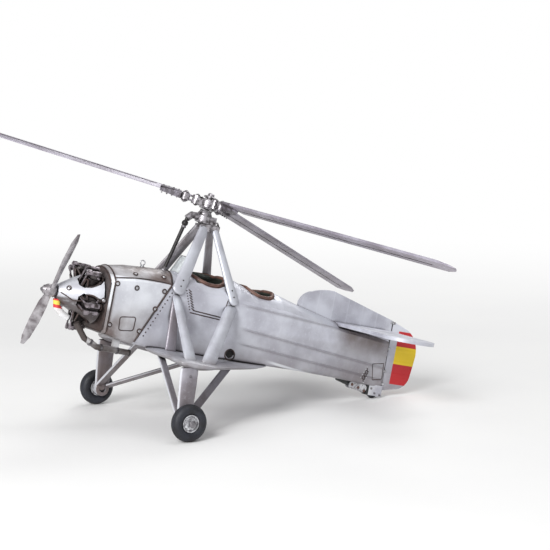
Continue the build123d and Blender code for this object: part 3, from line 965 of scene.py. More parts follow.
@dataclass(frozen=True)
class BladePaint(SilverDope):
    """Lilac silver on the blades, dark round their roots."""

    name: str = "blade paint"
    pale: Colour = (0.46, 0.435, 0.51)
    deep: Colour = (0.28, 0.25, 0.305)
    dark: Colour = (0.035, 0.028, 0.028)
    root: tuple[float, float] = (20.5, 23.0)
    space: Space = Space.OBJECT

    def colour(self, bench: Bench) -> Socket:
        """Gives the colour of the blades."""
        inner, outer = self.root
        near = bench.ramp(bench.away(ROTOR.translation), inner * MM, outer * MM, 0.8, 0.0)
        streak = bench.ramp(bench.noise(420.0, 3.0), 0.35, 0.6, 0.45, 1.0)
        return bench.mix(bench.times(near, streak), super().colour(bench), self.dark)


@dataclass(frozen=True)
class RudderStripes(SilverDope):
    """Red, yellow and red bands behind a silver front strip, over faint ribs."""

    name: str = "rudder stripes"
    red: Colour = (0.50, 0.018, 0.024)
    yellow: Colour = (0.82, 0.58, 0.02)
    metallic: float = 0.1
    front: float = -121.6
    levels: tuple[float, float, float, float] = (57.2, 50.2, 42.0, 32.6)

    def colour(self, bench: Bench) -> Socket:
        """Gives the colour of the rudder."""
        top, upper, lower, bottom = self.levels
        field_share = bench.times(bench.span("X", self.front - 0.15, self.front, 1.0, 0.0),
                                  bench.step("Z", top, 1.0, 0.0), bench.step("Z", bottom))
        middle = bench.times(bench.step("Z", lower), bench.step("Z", upper, 1.0, 0.0))
        return bench.mix(field_share, super().colour(bench), bench.mix(middle, self.red, self.yellow))

    def surface(self, bench: Bench) -> None:
        """Sets the gloss and the ribs."""
        bench.feed("Metallic", self.metallic)
        bench.gloss(0.36, 0.5, 1400.0)
        rib = bench.node("TexWave", {"Scale": 55.0, "Vector": bench.coords}, bands_direction="Z")
        bench.relief(bench.ramp(rib.outputs["Fac"], 0.8, 1.0), 0.05)


@dataclass(frozen=True)
class RibbedSilver(SilverDope):
    """Silver over a ribbed frame, its ribs a set distance apart across or along the part."""

    name: str = "ribbed silver"
    direction: str = "Y"
    pitch: float = 6.0
    fleck_detail: float = 3.0
    fleck_share: float = 0.25
    depth: float = 0.07

    def colour(self, bench: Bench) -> Socket:
        """Gives the ribbed colour, and leaves the ribs as relief."""
        place = bench.math("DIVIDE", bench.math("ABSOLUTE", bench.axis(self.direction)), self.pitch * MM)
        gap = bench.math("ABSOLUTE", bench.math("SUBTRACT", bench.math("FRACT", place), 0.5))
        bench.height = bench.ramp(gap, 0.0, 0.07, 1.0, 0.0)
        return bench.mix(bench.times(bench.height, 0.35), super().colour(bench), self.pale)


@dataclass(frozen=True)
class BandedPipe(SilverDope):
    """A pale pipe with red, yellow and red bands round its upper end."""

    name: str = "banded pipe"
    red: Colour = (0.66, 0.05, 0.05)
    yellow: Colour = (0.87, 0.66, 0.10)
    pipe: Colour = (0.80, 0.80, 0.81)
    stain: Colour = (0.35, 0.28, 0.24)
    metallic: float = 0.1
    levels: tuple[float, float, float] = (43.2, 44.6, 46.3)

    def colour(self, bench: Bench) -> Socket:
        """Gives the banded colour."""
        height = bench.waver("Z", 500.0, 0.15, 3.0)
        tone: Socket | Colour = self.pipe
        for level, band in zip(self.levels, (self.red, self.yellow, self.red)):
            tone = bench.mix(bench.ramp(height, (level - 0.05) * MM, (level + 0.05) * MM), tone, band)
        return bench.mix(bench.ramp(bench.noise(260.0, 4.0), 0.5, 0.75, 0.0, 0.5), tone, self.stain)

    def surface(self, bench: Bench) -> None:
        """Sets the gloss and the grain."""
        bench.feed("Metallic", self.metallic)
        bench.gloss(0.34, 0.48, 1400.0)
        bench.relief(bench.noise(FINE), 0.015)


@dataclass(frozen=True)
class ClearSheet:
    """Thin clear glazing with a faint tint and fine scratches."""

    name: str = "clear sheet"

    def make(self) -> bpy.types.Material:
        """Builds the glazing."""
        bench = Bench(self.name)
        bench.feed("Base Color", (0.86, 0.90, 0.92))
        bench.feed("Transmission Weight", 0.62)
        bench.feed("Roughness", bench.ramp(bench.noise(900.0, 4.0, (1, 6, 1)), 0.5, 0.8, 0.02, 0.14))
        bench.feed("IOR", 1.3)
        return bench.material


@dataclass(frozen=True)
class DialFace:
    """A black dial with pale marks, behind glass."""

    name: str = "dial face"

    def make(self) -> bpy.types.Material:
        """Builds the dial's finish."""
        bench = Bench(self.name)
        fleck = bench.ramp(bench.noise(2600.0, 1.0), 0.60, 0.66)
        bench.feed("Base Color", bench.mix(fleck, (0.015, 0.016, 0.017), (0.75, 0.74, 0.68)))
        bench.feed("Roughness", bench.ramp(bench.noise(900.0), 0.3, 0.7, 0.15, 0.25))
        bench.feed("Coat Weight", 0.6)
        bench.relief(bench.noise(1500.0), 0.005)
        return bench.material


class Paint:
    """All the model's finishes, each made once."""

    def __init__(self) -> None:
        """Builds every material."""
        self.cowl = CowlPaint().make()
        self.fork = SplitPaint(pale=(0.70, 0.71, 0.74), under_shade_share=0.2, darkening_low=20.0, darkening_high=24.0).make()
        self.nose = NosePaint(pale=(0.74, 0.76, 0.81), deep=(0.50, 0.50, 0.55)).make()
        self.hull = HullPaint().make()
        self.rudder = RudderStripes().make()
        self.tail = RibbedSilver().make()
        self.fin = RibbedSilver(name="fin silver", direction="X", pitch=8.0, depth=0.05, darkening_low=44.0,
                                darkening_high=58.0, darkening_share=0.35).make()
        self.strut = SilverDope(name="strut silver", pale=(0.60, 0.62, 0.68), deep=(0.42, 0.42, 0.47),
                                darkening_low=26.0, darkening_high=36.0, darkening_share=0.2, inner_shade_share=0.75).make()
        self.plane = SilverDope(name="stub silver", pale=(0.60, 0.62, 0.68), deep=(0.40, 0.40, 0.45),
                                darkening_low=30.8, darkening_high=35.6, darkening_share=0.75, inner_shade_share=0.75).make()
        # Painted shade: a darker copy of the silver for the inner brace, which stands in shade.
        self.shaded = SilverDope(name="shaded silver", pale=(0.30, 0.28, 0.32), deep=(0.17, 0.145, 0.155),
                                 darkening_low=5.0, darkening_high=34.0, darkening_share=0.4, under_shade_share=0.2).make()
        # Painted shade: a darker copy of the silver for the legs and the struts below the stub planes, with a painted
        # highlight on their forward faces.
        self.gear = SilverDope(name="gear silver", pale=(0.42, 0.41, 0.46), deep=(0.19, 0.17, 0.19),
                               darkening_low=5.0, darkening_high=34.0, darkening_share=0.4, inner_shade_share=0.8,
                               front_highlight_share=0.9).make()
        self.blade = BladePaint(darkening_low=-900.0, darkening_high=-800.0, under_shade_share=0.35).make()
        self.bright = Finish("bright metal", (0.62, 0.63, 0.66), (0.34, 0.33, 0.35), 0.32, 0.7, 420.0).make()
        self.seam = Finish("seam wash", (0.060, 0.036, 0.032), (0.022, 0.016, 0.016), 0.55, 0.0, 300.0).make()
        self.steel = Finish("washed steel", (0.26, 0.25, 0.27), (0.040, 0.034, 0.034), 0.36, 0.6, 420.0).make()
        self.dark = Finish("dark wash", (0.055, 0.048, 0.045), (0.020, 0.018, 0.018), 0.5, 0.2, 300.0).make()
        # Engine and rocker metal: the long reach lays painted shade over the cylinders and pushrods deep in their
        # ports.
        self.engine = Finish("engine metal", (0.105, 0.092, 0.092), (0.024, 0.020, 0.020), 0.36, 0.5, 420.0,
                             reach=6.0).make()
        self.rocker = Finish("rocker metal", (0.34, 0.30, 0.33), (0.040, 0.030, 0.030), 0.34, 0.5, 520.0,
                             reach=5.0).make()
        self.head = Finish("head metal", (0.46, 0.44, 0.47), (0.030, 0.024, 0.024), 0.34, 0.55, 520.0,
                           reach=2.6).make()
        self.black = Finish("black wash", (0.018, 0.015, 0.015), (0.008, 0.007, 0.007), 0.5, 0.1, 300.0).make()
        # Silver along its bend and dark ahead of it, with painted shade on its low run under the belly and on faces
        # that look down.
        self.exhaust = SplitPaint(name="dark_and_shaded metal", pale=(0.72, 0.73, 0.76), deep=(0.42, 0.40, 0.40),
                                  station=35.8, dark=(0.05, 0.036, 0.032), darkening_low=30.6, darkening_high=31.6,
                                  darkening_share=1.0, under_shade_share=0.9, wash_and_shade=(0.05, 0.036, 0.032)).make()
        self.propeller = Finish("propeller metal", (0.46, 0.44, 0.46), (0.15, 0.13, 0.14), 0.36, 0.5, 220.0).make()
        self.rubber = Finish("tyre rubber", (0.020, 0.022, 0.031), (0.010, 0.010, 0.013), 0.58, 0.0, 220.0,
                             1800.0, 0.03).make()
        self.wheel = Finish("wheel disc", (0.70, 0.71, 0.74), (0.20, 0.19, 0.21), 0.36, 0.5, 700.0, reach=1.8).make()
        self.leather = Finish("brown leather", (0.155, 0.075, 0.055), (0.075, 0.038, 0.032), 0.46, 0.0, 420.0,
                              2400.0, 0.04).make()
        self.seat = Finish("seat leather", (0.12, 0.07, 0.05), (0.05, 0.03, 0.025), 0.5, 0.0, 300.0, 2200.0,
                           0.05).make()
        self.webbing = Finish("webbing", (0.30, 0.26, 0.19), (0.17, 0.14, 0.10), 0.7, 0.0, 500.0, 3000.0, 0.03).make()
        self.cockpit = Finish("cockpit green", (0.045, 0.055, 0.045), (0.022, 0.026, 0.022), 0.5).make()
        self.glass = ClearSheet().make()
        self.dial = DialFace().make()
        self.banded = BandedPipe().make()


def dress(piece: Piece, material: bpy.types.Material) -> Piece:
    """Gives a whole piece one material.

    Args:
        piece: a CAD node or a new piece.
        material: its finish.

    Returns:
        The same piece.
    """
    piece.data.materials.clear()
    piece.data.materials.append(material)
    for face in piece.data.polygons:
        face.material_index = 0
    return piece


def fit(piece: Piece, material: bpy.types.Material, *nodes: str, body: str = "airframe") -> Piece:
    """Dresses a new piece and fixes it to a body of the model.

    Args:
        piece: the new piece.
        material: its finish.
        nodes: the CAD nodes that it stands for.
        body: the body that it moves with.

    Returns:
        The same piece.
    """
    dress(piece, material)
    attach(piece, body)
    if nodes:
        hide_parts(*nodes)
    LOG.info("%s rides on %s", piece.name, body)
    return piece


def fit_pair(piece: Piece, material: bpy.types.Material, *nodes: str) -> None:
    """Fits a port piece, and then its starboard twin, which takes over what is noted on the port one.

    Args:
        piece: the port piece.
        material: their finish.
        nodes: the CAD nodes that the pair stands for, without their side.
    """
    fit(piece, material, *(f"{node}_left" for node in nodes))
    fit(mirrored(piece), material, *(f"{node}_right" for node in nodes))


def stud_row(name: str, places: Sequence[tuple[Vector, Vector]], radius: float, height: float,
             around: int = 8) -> Piece:
    """Sets one low domed stud on each place.

    Args:
        name: the name of the joined studs.
        places: points and normals in the shared frame.
        radius: a stud's radius in millimetres.
        height: a stud's height in millimetres.
        around: the faces round a stud.

    Returns:
        All the studs as one piece.
    """
    stud = spun(name, [(radius, -0.15), (radius, height * 0.35), (radius * 0.72, height * 0.8),
                       (radius * 0.3, height), (0.0, height)], around)
    pieces = [copied(stud, upright(at, normal)) for at, normal in places]
    bpy.data.objects.remove(stud)
    return joined(name, pieces)


def fastener(at: Vector, normal: Vector, major: float, minor: float) -> tuple[Piece, Piece]:
    """Lays a small ring on a surface, with a dome in its middle.

    Args:
        at: the ring's middle, in metres.
        normal: the surface's direction.
        major: the ring's radius in millimetres.
        minor: the radius of its wire in millimetres.

    Returns:
        The ring and the dome.
    """
    place = upright(at, normal)
    dome = [(major * 0.75, -0.1), (major * 0.75, minor * 0.6), (major * 0.4, minor), (0.0, minor)]
    return spun("fastener", wire(major, minor), 20, True, place), spun("fastener", dome, 12, False, place)


def bolt(at: Vector, normal: Vector, width: float, height: float, place: Matrix | None = None) -> Piece:
    """Sets a six-sided nut with a short stud end on a surface.

    Args:
        at: its foot, in metres.
        normal: the surface's direction.
        width: the nut's radius in millimetres.
        height: the nut's height in millimetres.
        place: the frame in which foot and direction are given, if not the shared one.

    Returns:
        The nut.
    """
    nut = spun("bolt", [(width, -0.1), (width, height * 0.8), (width * 0.82, height), (width * 0.4, height),
                        (width * 0.4, height * 1.5), (0.0, height * 1.6)], 6, False, upright(at, normal))
    return nut if place is None else settle(nut, place)


@dataclass
class Cowling:
    """Fasteners, seams and small fittings of the nose and main cowl."""

    skin: Skin
    nose: Skin
    paint: Paint
    side_rings: Profile = ((29.1, 58.0), (20.3, 57.5), (7.4, 58.0), (10.2, 50.0), (15.6, 39.7), (29.2, 40.4))
    deck_rings: Profile = ((20.4, 9.6), (7.1, 9.8))
    nose_rings: Profile = ((47.0, 52.4), (36.2, 50.2))
    ring_radius: float = 0.85
    hatch: Profile = ((25.3, 44.4), (18.2, 45.3), (18.4, 39.4), (24.9, 38.7))
    hatch_corner: float = 1.1
    strap: tuple[float, float, float] = (4.4, 61.0, 0.4867)
    strap_levels: tuple[float, ...] = (34.9, 38.0, 42.0, 46.0, 50.0, 54.0, 58.0, 60.4)
    strap_widths: tuple[float, ...] = (12.4, 11.0, 9.0, 6.5, 3.5, 0.0)
    stitches: tuple[int, float, float] = (13, 38.0, 1.65)
    deck_seam: Profile = ((30.3, 60.0), (27.0, 60.6), (22.0, 61.3), (16.0, 61.7), (10.0, 61.7), (4.5, 61.4))
    wavy_seam: Profile = ((50.0, 50.1), (47.6, 49.0), (44.8, 47.6), (42.2, 48.0), (39.6, 49.2), (36.0, 49.4),
                          (34.0, 49.2))
    beads: tuple[tuple[str, float, float, float], ...] = (
        ("front_bead", 32.0, 0.02, 0.42), ("rear_bead", 30.0, 0.05, 0.32))
    loop_station: float = 13.4
    port_axes: tuple[float, float] = (4.68, 3.84)

    def rings(self) -> tuple[Piece, Piece]:
        """Models the turn-button fasteners of the port side, their dark rings and bright middles."""
        places = [self.skin.side(x, z, 0.1) for x, z in self.side_rings]
        places += [self.skin.deck(x, y, 0.1) for x, y in self.deck_rings]
        places += [self.nose.side(x, z, 0.1) for x, z in self.nose_rings]
        loops, domes = zip(*(fastener(at, n, self.ring_radius, 0.3) for at, n in places))
        return joined("cowl_fasteners_left", loops), joined("fastener_buttons_left", domes)

    def hatch_frame(self) -> Piece:
        """Models the outline of the small hatch low on the side, with its round corners."""
        corners = [Vector((x, 0.0, z)) for x, z in self.hatch]
        line: list[Vector] = []
        for k, corner in enumerate(corners):
            start, end = (corner.lerp(other, self.hatch_corner / (other - corner).length)
                          for other in (corners[k - 1], corners[(k + 1) % 4]))
            line += [start.lerp(corner, t).lerp(corner.lerp(end, t), t) for t in (0.0, 0.33, 0.67, 1.0)]
        points = self.skin.trace([(q.x, q.z) for q in line], lift=0.02)
        return pipe("hatch_edge_left", points, 0.22, 8, body_way(0, 1, 0), loop=True)

    def slanted(self, z: float, offset: float) -> float:
        """Gives the station of a line beside the slanted rear edge of the cowl, at a height."""
        x0, z0, slant = self.strap
        return x0 - (z - z0) * slant - offset

    def seams(self) -> list[Piece]:
        """Models the dark seams round the cowl's panels."""
        edge = [self.skin.side(self.slanted(z, 0.0), z, 0.03)[0] for z in self.strap_levels]
        edge += [self.skin.deck(self.slanted(61.0 + 5.4 * (1 - (y / 13.4) ** 2), 0.0), y, 0.03)[0]
                 for y in self.strap_widths]
        up = body_way(0.3, 1, 0.2)
        count, first, pitch = self.stitches
        dashes = [self.skin.side(self.slanted(z, 2.3), z) for z in (first + k * pitch for k in range(count))]
        return [pipe("cowl_rear_seam_left", edge, 0.42, 8, up),
                pipe("cowl_side_seam_left", self.skin.trace(self.deck_seam, lift=0.02), 0.34, 8, up),
                stud_row("cowl_stitches_left", dashes, 0.34, 0.2, 6),
                pipe("nose_seam_left", self.nose.trace(self.wavy_seam, 0.8), 0.26, 8, body_way(0, 1, 0.3))]

    def bead(self, name: str, x: float, lift: float, radius: float) -> Piece:
        """Models one bead round the cowl.

        Args:
            name: the bead's name.
            x: its station.
            lift: its height above the surface in millimetres.
            radius: its radius in millimetres.

        Returns:
            The bead.
        """
        points = []
        for a in circle(56):
            out = Vector((0, math.cos(a), math.sin(a)))
            points.append(self.skin.hit(Vector((x, 0, THRUST_Z)) + out * 40, -out, lift)[0])
        return pipe(name, points, radius, 8, body_way(1, 0, 0), loop=True)

    def lifting_loop(self) -> Piece:
        """Models the lifting loop on top of the cowl."""
        place = Matrix.Translation(self.skin.deck(self.loop_station, 0.0)[0]) @ BODY
        loop = spun("lifting_loop", wire(1.05, 0.27, 10), 24, True, place @ moved(0, 0, 1.75) @ turned(90, "X"))
        foot = spun("loop_foot", [(0.9, -0.3), (0.9, 0.35), (0.55, 0.7), (0.3, 0.9), (0.0, 0.9)], 16, False, place)
        return joined("lifting_loop", [loop, foot])

    def port_rims(self) -> Piece:
        """Models the dark oval rim round each cylinder's port in the nose."""
        rims = []
        long, wide = self.port_axes
        middle = Vector((Engine.station, 0, THRUST_Z))
        for k in range(Engine.count):
            lean = math.radians(180 + k * 360 / Engine.count)
            out = Vector((0, -math.sin(lean), math.cos(lean)))
            side = Vector((0, math.cos(lean), math.sin(lean)))
            points = []
            for a in circle(28):
                flat = Vector((long * math.cos(a), 0, 0)) + side * (wide * math.sin(a))
                found = self.nose.hit(middle + flat * 1.1 + out * 30, -out)[0]
                height = (BODY.inverted() @ found / MM - middle).dot(out)
                points.append(BODY @ ((middle + flat + out * height) * MM))
            rims.append(pipe("port_rim", points, 0.42, 8, BODY.to_3x3() @ out, loop=True))
        return joined("port_rims", rims)

    def build(self) -> None:
        """Builds the cowling's pieces on both sides."""
        loops, domes = self.rings()
        for piece in (loops, domes, self.hatch_frame(), *self.seams()):
            fit_pair(piece, self.paint.bright if piece is domes else self.paint.seam)
        for piece in (*(self.bead(*row) for row in self.beads), self.port_rims()):
            fit(piece, self.paint.seam)
        fit(self.lifting_loop(), self.paint.bright)


@dataclass
class Engine:
    """The finned cylinders and the small parts of the radial engine."""

    paint: Paint
    station: float = 38.2
    count: int = 5
    case_radius: float = 5.0
    barrel: float = 2.1
    fin: float = 3.1
    fins: int = 10
    shoulder: float = 11.5
    rod_ahead: float = 3.85
    rocker_y: float = 1.6

    def finned(self) -> Piece:
        """Models one dark barrel with its finned head, along Z from the crankcase's axis."""
        pitch = (self.shoulder - self.case_radius - 0.9) / self.fins
        comb = [(0.0, self.case_radius - 0.2), (2.6, self.case_radius - 0.2), (2.6, self.case_radius + 0.4),
                (self.barrel, self.case_radius + 0.6)]
        for k in range(self.fins):
            z = self.case_radius + 0.9 + k * pitch
            comb += [(self.barrel, z), (self.fin - 0.06, z + 0.04), (self.fin, z + pitch * 0.2),
                     (self.fin - 0.06, z + pitch * 0.36), (self.barrel, z + pitch * 0.4)]
        comb += [(self.barrel, self.shoulder), (2.7, self.shoulder + 0.1), (2.8, self.shoulder + 1.0),
                 (2.2, self.shoulder + 1.7), (0.0, self.shoulder + 2.0)]
        parts = [spun("barrel", comb, 28)]
        parts += [block("head_fin", (5.0 - 0.5 * k, 0.28, 1.5), (-0.2, -2.2 + 1.1 * k, self.shoulder + 1.4), 0.06)
                  for k in range(5)]
        return joined("cylinder_barrel", parts)

    def gear(self) -> Piece:
        """Models one cylinder's rocker boxes, lids, pushrods and plugs, along Z."""
        parts = []
        top = self.shoulder
        for side in (-1, 1):
            y = self.rocker_y * side
            parts += [block("rocker_box", (6.6, 1.7, 1.5), (1.1, y, top + 2.45), 0.35),
                      block("rocker_lid", (2.0, 2.0, 0.35), (3.2, y, top + 3.3), 0.12)]
            parts += [bolt(mm(3.2 + shift, y, top + 3.4), Vector((0, 0, 1)), 0.28, 0.2) for shift in (-0.7, 0.7)]
            rod = [mm(self.rod_ahead + 0.15 * (1 - t), y, 5.0 + t * 8.2) for t in (0, 0.5, 1)]
            parts.append(pipe("pushrod", rod, 0.4, 10, Vector((0, 1, 0))))
            parts += [spun("rod_collar", there_and_back([(0.4, -0.35), (0.6, -0.35)]), 12, True,
                           moved(self.rod_ahead, y, z)) for z in (5.6, 12.9)]
            parts.append(spun("plug", [(0.5, 0.0), (0.5, 0.5), (0.28, 0.6), (0.28, 1.5), (0.0, 1.6)], 8, False,
                              moved(-1.2, 2.3 * side, top + 0.8) @ turned(-70 * side, "X")))
        return joined("cylinder_gear", parts)

    def build(self) -> None:
        """Builds all the cylinders in place of the CAD ones."""
        barrel, gear = self.finned(), self.gear()
        middle = BODY @ moved(self.station, 0, THRUST_Z)
        for k in range(self.count):
            place = middle @ turned(180 + k * 360 / self.count, "X")
            fit(copied(barrel, place, f"finned_cylinder_{k + 1}"), self.paint.engine, f"cylinder_{k + 1}")
            fit(copied(gear, place, f"rocker_gear_{k + 1}"), self.paint.rocker)
        for original in (barrel, gear):
            bpy.data.objects.remove(original)


@dataclass
class Pipework:
    """Clamps and the open end of the exhaust."""

    paint: Paint
    exhaust: tuple[tuple[float, float, float], ...] = (
        (41.6, 6.0, 38.6), (36.7, 6.0, 32.8), (30.5, 6.4, 29.9), (15.0, 6.4, 29.4))
    clamps: tuple[tuple[int, float], ...] = ((1, 0.5), (2, 0.12), (2, 0.62))
    radius: float = 1.3
    half_width: float = 0.45

    def clamp(self, at: Vector, ahead: Vector) -> Piece:
        """Models one clamp band round the pipe.

        Args:
            at: its middle, in millimetres in the fuselage frame.
            ahead: the pipe's direction.

        Returns:
            The clamp.
        """
        inner, outer, half = self.radius - 0.1, self.radius + 0.22, self.half_width
        band = spun("clamp", [(inner, -half), (outer, -half), (self.radius + 0.3, 0), (outer, half), (inner, half)],
                    24, True)
        lug = block("clamp_lug", (0.8, 0.5, 2 * half), (self.radius + 0.5, 0, 0), 0.1)
        return settle(joined("clamp", [band, lug]), BODY @ upright(at * MM, ahead))

    def build(self) -> None:
        """Builds the pipes' fittings."""
        line = [Vector(q) for q in self.exhaust]
        fit(joined("exhaust_clamps", [self.clamp(line[k].lerp(line[k + 1], share), line[k + 1] - line[k])
                                      for k, share in self.clamps]), self.paint.steel)
        outer = self.radius + 0.12
        fit(spun("exhaust_lip", [(outer, -0.5), (outer, 0.25), (self.radius - 0.2, 0.25), (self.radius - 0.3, -0.4),
                                 (0.0, -0.45)], 24, False, BODY @ upright(line[3] * MM, line[3] - line[2])),
            self.paint.dark)


@dataclass
class Propeller:
    """The bolts, plate and nut on the propeller's boss."""

    paint: Paint
    station: float = 53.4
    bolt_circle: float = 1.75
    bolts: int = 6

    def build(self) -> None:
        """Builds the boss's small parts."""
        axis = body_way(1, 0, 0)
        parts = [bolt(body_point(self.station + 2.45, self.bolt_circle * math.cos(a),
                                 THRUST_Z + self.bolt_circle * math.sin(a)), axis, 0.36, 0.3)
                 for a in circle(self.bolts)]
        plate = [(1.25, 0.0), (1.25, 0.2), (0.75, 0.35), (0.75, 0.9), (0.4, 1.1), (0.0, 1.1)]
        back = [(1.6, 0.0), (2.75, 0.0), (2.85, 0.25), (2.75, 0.5), (1.6, 0.5)]
        for name, profile, steps, ring, ahead in (("boss_plate", plate, 24, False, 3.2),
                                                  ("boss_back", back, 28, True, -1.9)):
            place = upright(body_point(self.station + ahead, 0, THRUST_Z), axis)
            parts.append(spun(name, profile, steps, ring, place))
        fit(joined("boss_fittings", parts), self.paint.steel, body="propeller")


def fairing(name: str, foot: Sequence[float], tip: Sequence[float], chords: Sequence[float], thick: float,
            ends: tuple[float, float] = (0.5, 0.5)) -> Piece:
    """Models a streamlined strut whose chord changes along its length.

    Args:
        name: the piece's name.
        foot: one end, in millimetres in the fuselage frame.
        tip: the other end.
        chords: the chords at even steps from foot to tip, in millimetres.
        thick: the strut's thickness in millimetres.
        ends: how far its rounded ends reach past foot and tip, in millimetres.

    Returns:
        The strut.
    """
    a, b = Vector(foot), Vector(tip)
    run = (b - a).normalized()
    nose = (Vector((1, 0, 0)) - run * run.x).normalized()
    side = run.cross(nose)
    low, high = (reach / (b - a).length for reach in ends)
    stations = [(-low, chords[0] * 0.38, 0.35), (-low * 0.8, chords[0] * 0.7, 0.75),
                (-low * 0.4, chords[0] * 0.93, 0.95),
                *((k / (len(chords) - 1), chord, 1.0) for k, chord in enumerate(chords)),
                (1 + high * 0.6, chords[-1] * 0.85, 0.85), (1 + high, chords[-1] * 0.45, 0.4)]
    rows = []
    for share, chord, swell in stations:
        row = []
        for angle in circle(20):
            x = math.cos(angle)
            reach = chord / 2 * (x if x > 0 else x * 1.06)
            taper = 1.0 if x > -0.2 else 1.0 - 0.45 * (-x - 0.2) / 0.8
            row.append(BODY @ ((a.lerp(b, share) + nose * reach
                                + side * thick / 2 * swell * math.sin(angle) * taper) * MM))
        rows.append(row)
    return smooth(draped(name, rows), 35)


@dataclass
class Well:
    """One cockpit opening: its plan in the fuselage frame, in millimetres."""

    name: str
    middle: float
    length: float
    width: float
    corner: float
    rise: float
    panel_top: float
    floor: float = 45.0

    def outline(self, out: float, count: int = 14) -> list[tuple[float, float]]:
        """Follows the opening's edge at a distance outside it.

        Args:
            out: the distance, in millimetres.
            count: points in each corner.

        Returns:
            The points as (x, y), once round.
        """
        points = []
        radius = self.corner + out
        a, b = self.length / 2 - self.corner, self.width / 2 - self.corner
        for sx, sy, start in ((1, 1, 0), (-1, 1, 90), (-1, -1, 180), (1, -1, 270)):
            for k in range(count):
                angle = math.radians(start + 90 * k / (count - 1))
                points.append((self.middle + sx * a + radius * math.cos(angle), sy * b + radius * math.sin(angle)))
        return points


@dataclass
class Cockpits:
    """The rolled rims, seats, instrument panels, sticks and the windscreen's frame."""

    skin: Skin
    paint: Paint
    wells: tuple[Well, Well] = (Well("front", -16.8, 15.4, 19.0, 7.0, 3.6, 61.2),
                                Well("rear", -43.0, 12.6, 17.6, 5.5, 1.3, 58.6))
    rim: float = 0.85
    dial_rows: tuple[tuple[float, float, tuple[float, ...]], ...] = (
        (0.0, 1.35, (-3.4, 0.0, 3.4)), (3.2, 1.15, (-4.6, -1.7, 1.7, 4.6)))
    switches: tuple[float, ...] = (-2.6, -0.9, 0.9, 2.6)
    screen: Profile = ((-2.6, -5.4), (-0.25, -4.25), (-0.25, 4.25), (-2.6, 5.4))
    screen_height: float = 7.4

    def rim_line(self, well: Well, out: float, lift: float, share: float = 1.0) -> list[Vector]:
        """Follows the deck round one opening, higher to starboard, where there is no door.

        Args:
            well: the opening.
            out: the distance outside its edge, in millimetres.
            lift: the height above the deck, in millimetres.
            share: how much of the starboard side's rise is taken.

        Returns:
            The points, in the shared frame.
        """
        points = []
        for x, y in well.outline(out):
            along_well = max(0.0, 1 - ((x - well.middle) / (well.length / 2)) ** 2)
            across = min(1.0, max(0.0, -y / (well.width / 2)))
            points.append(self.skin.deck(x, y, lift + share * well.rise * along_well ** 0.5 * across)[0])
        return points

    def moulded_rim(self, well: Well) -> Piece:
        """Models the rolled rim round one opening, with its piping."""
        up = body_way(0, 0, 1)
        roll = pipe(f"rim_casting_{well.name}", self.rim_line(well, 0.45, 0.25), self.rim, 14, up, loop=True)
        take(roll)
        rounder = roll.modifiers.new("rounder", "SUBSURF")
        rounder.levels = rounder.render_levels = 1
        bpy.ops.object.modifier_apply(modifier=rounder.name)
        smooth(roll, 60)
        cord = pipe("rim_piping", self.rim_line(well, 1.25, 0.02), 0.16, 8, up, loop=True)
        return joined(roll.name, [roll, cord])

    def lining(self, well: Well) -> Piece:
        """Models the dark inner wall from the deck up to the rolled rim."""
        low = self.rim_line(well, 0.05, -0.9, 0.0)
        high = self.rim_line(well, 0.05, 0.35, 1.0)
        rows = []
        count = len(low)
        for k in range(count + 1):
            a, b = low[k % count], high[k % count]
            run = (low[(k + 1) % count] - low[k - 1 if k % count else -1]).normalized()
            rows.append(ring_points((a + b) / 2, run, body_way(0, 0, 1), (0.35, (b - a).length / MM / 2), 12))
        return smooth(clean(draped(f"cockpit_lining_{well.name}", rows, caps=False)), 50)

    def seat(self, well: Well) -> tuple[Piece, Piece]:
        """Models one seat, a pan and a back with rounded ribs, and its two shoulder straps.

        Args:
            well: the opening that it stands in.

        Returns:
            The seat and the straps with their buckles.
        """
        x, floor, wide = well.middle - well.length / 2 + 1.8, well.floor, well.width - 7.0
        parts, straps = [], []
        for k in range(4):
            pan, back = wide / 4, (wide - 1.0) / 4
            parts += [block("pan_rib", (6.4, pan + 0.1, 1.6), (x + 3.8, (k - 1.5) * pan, floor + 4.0), 0.55),
                      block("back_rib", (1.5, back + 0.1, 8.4), (x + 1.0, (k - 1.5) * back, floor + 8.8), 0.5)]
        parts += [block("pan", (7.0, wide, 3.4), (x + 3.6, 0, floor + 1.7), 0.4),
                  block("back", (0.8, wide - 0.8, 12.6), (x + 0.4, 0, floor + 6.3), 0.3)]
        for y in (-2.0, 2.0):
            straps += [block("strap", (0.25, 0.9, 8.0), (x + 1.9, y, floor + 9.0), 0.08),
                       block("strap_lap", (5.0, 0.9, 0.25), (x + 4.4, y, floor + 4.95), 0.08),
                       block("buckle", (0.3, 1.3, 0.9), (x + 2.05, y, floor + 7.4), 0.12)]
        return (settle(joined(f"seat_casting_{well.name}", parts), BODY),
                settle(joined(f"harness_{well.name}", straps), BODY))

    def instruments(self, well: Well) -> tuple[Piece, Piece]:
        """Models the dials and switches on one panel's rear face."""
        x = well.middle + well.length / 2 - 1.8
        aft = body_way(-1, 0, 0)
        rims, faces = [], []
        for drop, size, spots in self.dial_rows:
            for y in spots:
                at = upright(body_point(x, y, well.panel_top - drop), aft)
                rims.append(spun("bezel", [(size - 0.25, 0.0), (size, 0.0), (size, 0.3), (size - 0.12, 0.42),
                                           (size - 0.25, 0.34)], 24, True, at))
                faces.append(spun("dial", [(size - 0.2, -0.05), (size - 0.2, 0.2), (0.25, 0.2), (0.2, 0.3),
                                           (0.0, 0.3)], 20, False, at))
        rims += [spun("switch", [(0.35, 0.0), (0.35, 0.2), (0.14, 0.3), (0.12, 0.8), (0.0, 0.9)], 8, False,
                      upright(body_point(x, y, well.panel_top - 5.6), aft)) for y in self.switches]
        return joined(f"bezels_{well.name}", rims), joined(f"dials_{well.name}", faces)

